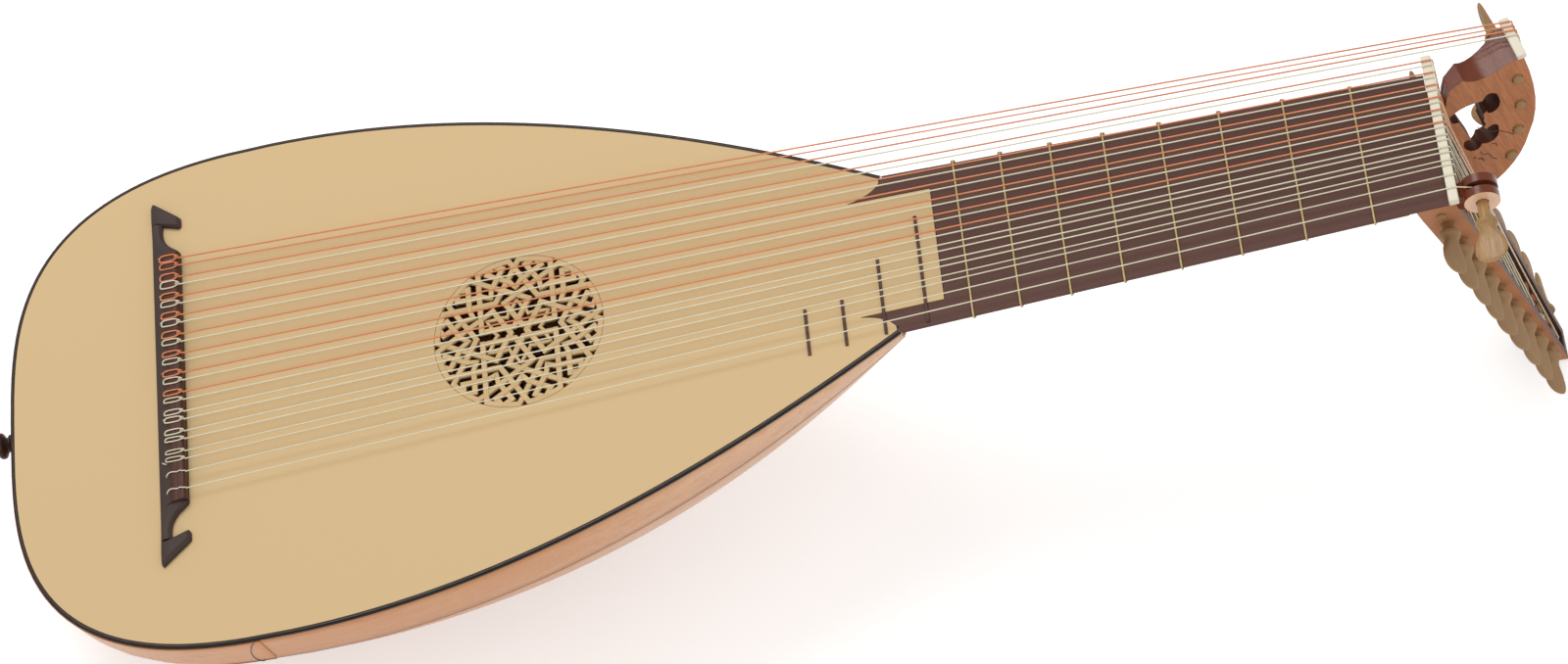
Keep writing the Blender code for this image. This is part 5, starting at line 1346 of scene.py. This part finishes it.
def make_stage():
    setup = bpy.context.scene.lute_stage
    scene = bpy.context.scene
    scene.view_settings.view_transform = "Standard"
    right, down, forward = (Vector(row) for row in CAMERA_ROWS)
    turn = Matrix((right, -down, -forward)).transposed().to_4x4()
    lens = bpy.data.cameras.new("camera")
    lens.lens = CAMERA_LENS
    lens.sensor_width = 36
    lens.clip_end = 100
    camera = bpy.data.objects.new("camera", lens)
    camera.matrix_world = LUTE @ Matrix.Translation(CAMERA_PLACE) @ turn
    scene.collection.objects.link(camera)
    scene.camera = camera

    material = bpy.data.materials.new("floor")
    material.use_nodes = True
    tree = material.node_tree
    shader = tree.nodes["Principled BSDF"]
    shader.inputs["Base Color"].default_value = (*setup.floor, 1.0)
    shader.inputs["Roughness"].default_value = 0.9
    rays = node(tree, "ShaderNodeLightPath")
    seen = node(tree, "ShaderNodeMath", operation="MAXIMUM")
    tree.links.new(rays.outputs["Is Camera Ray"], seen.inputs[0])
    tree.links.new(rays.outputs["Is Glossy Ray"], seen.inputs[1])
    glow = node(tree, "ShaderNodeMath", operation="MULTIPLY")
    glow.inputs[1].default_value = 0.42
    tree.links.new(seen.outputs[0], glow.inputs[0])
    shader.inputs["Emission Color"].default_value = (1, 1, 1, 1)
    tree.links.new(glow.outputs[0], shader.inputs["Emission Strength"])
    shape = bmesh.new()
    bmesh.ops.create_grid(shape, x_segments=1, y_segments=1, size=20)
    bmesh.ops.translate(shape, verts=shape.verts, vec=(0, 0, -0.0006))
    mesh = bpy.data.meshes.new("floor")
    shape.to_mesh(mesh)
    shape.free()
    mesh.materials.append(material)
    floor = bpy.data.objects.new("floor", mesh)
    scene.collection.objects.link(floor)

    for name, place, size, power in (("key_lamp", (-0.5, 1.0, 2.4), 1.6, setup.key_power),
                                     ("fill_lamp", (1.4, -1.8, 1.6), 1.8, setup.fill_power)):
        lamp = bpy.data.lights.new(name, "AREA")
        lamp.size = size
        lamp.energy = power
        item = bpy.data.objects.new(name, lamp)
        item.location = place
        item.rotation_euler = (Vector((0.25, 0, 0.1)) - Vector(place)).to_track_quat("-Z", "Y").to_euler()
        scene.collection.objects.link(item)

    world = bpy.data.worlds.new("surround")
    scene.world = world
    world.use_nodes = True
    tree = world.node_tree
    back = tree.nodes["Background"]
    back.inputs["Color"].default_value = (1, 1, 1, 1)
    rays = node(tree, "ShaderNodeLightPath")
    amount = node(tree, "ShaderNodeMapRange")
    amount.inputs["To Min"].default_value = setup.surround
    amount.inputs["To Max"].default_value = 1.0
    tree.links.new(rays.outputs["Is Camera Ray"], amount.inputs["Value"])
    tree.links.new(amount.outputs["Result"], back.inputs["Strength"])


# Operators, one for each piece or group of like pieces

def operator(label, about, make):
    """An operator class that makes one group of pieces."""
    word = make.__name__.replace("make_", "")

    def execute(self, context):
        make()
        return {"FINISHED"}

    return type("LUTE_OT_" + word, (bpy.types.Operator,),
                {"bl_idname": "lute." + word, "bl_label": label, "__doc__": about, "execute": execute})


OPERATORS = [
    operator("Stage", "Make the floor, the lamps and the camera", make_stage),
    operator("Soundboard", "Make the soundboard with its bars and wooden frets", make_soundboard),
    operator("Rose", "Carve the rose's interlaced ribbons", make_rose),
    operator("Edging", "Lay the black edging round the soundboard", make_edging),
    operator("Bowl", "Bend the ribs and spacers of the bowl", make_bowl),
    operator("End clasp", "Bend the band round the tail", make_clasp),
    operator("End button", "Turn the end button", make_button),
    operator("Neck", "Dress neck, fingerboard, block and screw", make_neck),
    operator("Nuts", "Dress the two bone nuts", make_nuts),
    operator("Pegbox", "Dress the pegbox and both riders", make_pegbox),
    operator("Pegs", "Carve the tuning pegs", make_pegs),
    operator("Bridge", "Dress the bridge", make_bridge),
    operator("Strings", "String the lute, with ties and turns on the pegs", make_strings),
    operator("Tied frets", "Tie the gut frets round the neck", make_frets),
]


class LUTE_PT_looks(bpy.types.Panel):
    """The lute's colours, sizes and pieces."""
    bl_label = "Baroque lute"
    bl_idname = "LUTE_PT_looks"
    bl_space_type = "VIEW_3D"
    bl_region_type = "UI"
    bl_category = "Lute"

    def draw(self, context):
        for settings in (context.scene.lute_woods, context.scene.lute_sizes, context.scene.lute_stage):
            column = self.layout.column(heading=type(settings).__doc__)
            for name in type(settings).__annotations__:
                column.prop(settings, name)
        for made in OPERATORS:
            self.layout.operator(made.bl_idname)


SETTINGS = {"lute_woods": LuteWoods, "lute_sizes": LuteSizes, "lute_stage": LuteStage}


def register():
    for made in [*SETTINGS.values(), *OPERATORS, LUTE_PT_looks]:
        bpy.utils.register_class(made)
    for name, made in SETTINGS.items():
        setattr(bpy.types.Scene, name, bpy.props.PointerProperty(type=made))


def unregister():
    for name in SETTINGS:
        delattr(bpy.types.Scene, name)
    for made in reversed([*SETTINGS.values(), *OPERATORS, LUTE_PT_looks]):
        bpy.utils.unregister_class(made)


def main():
    register()
    for made in OPERATORS:
        getattr(bpy.ops.lute, made.bl_idname.split(".")[1])()


if __name__ == "__main__":
    main()
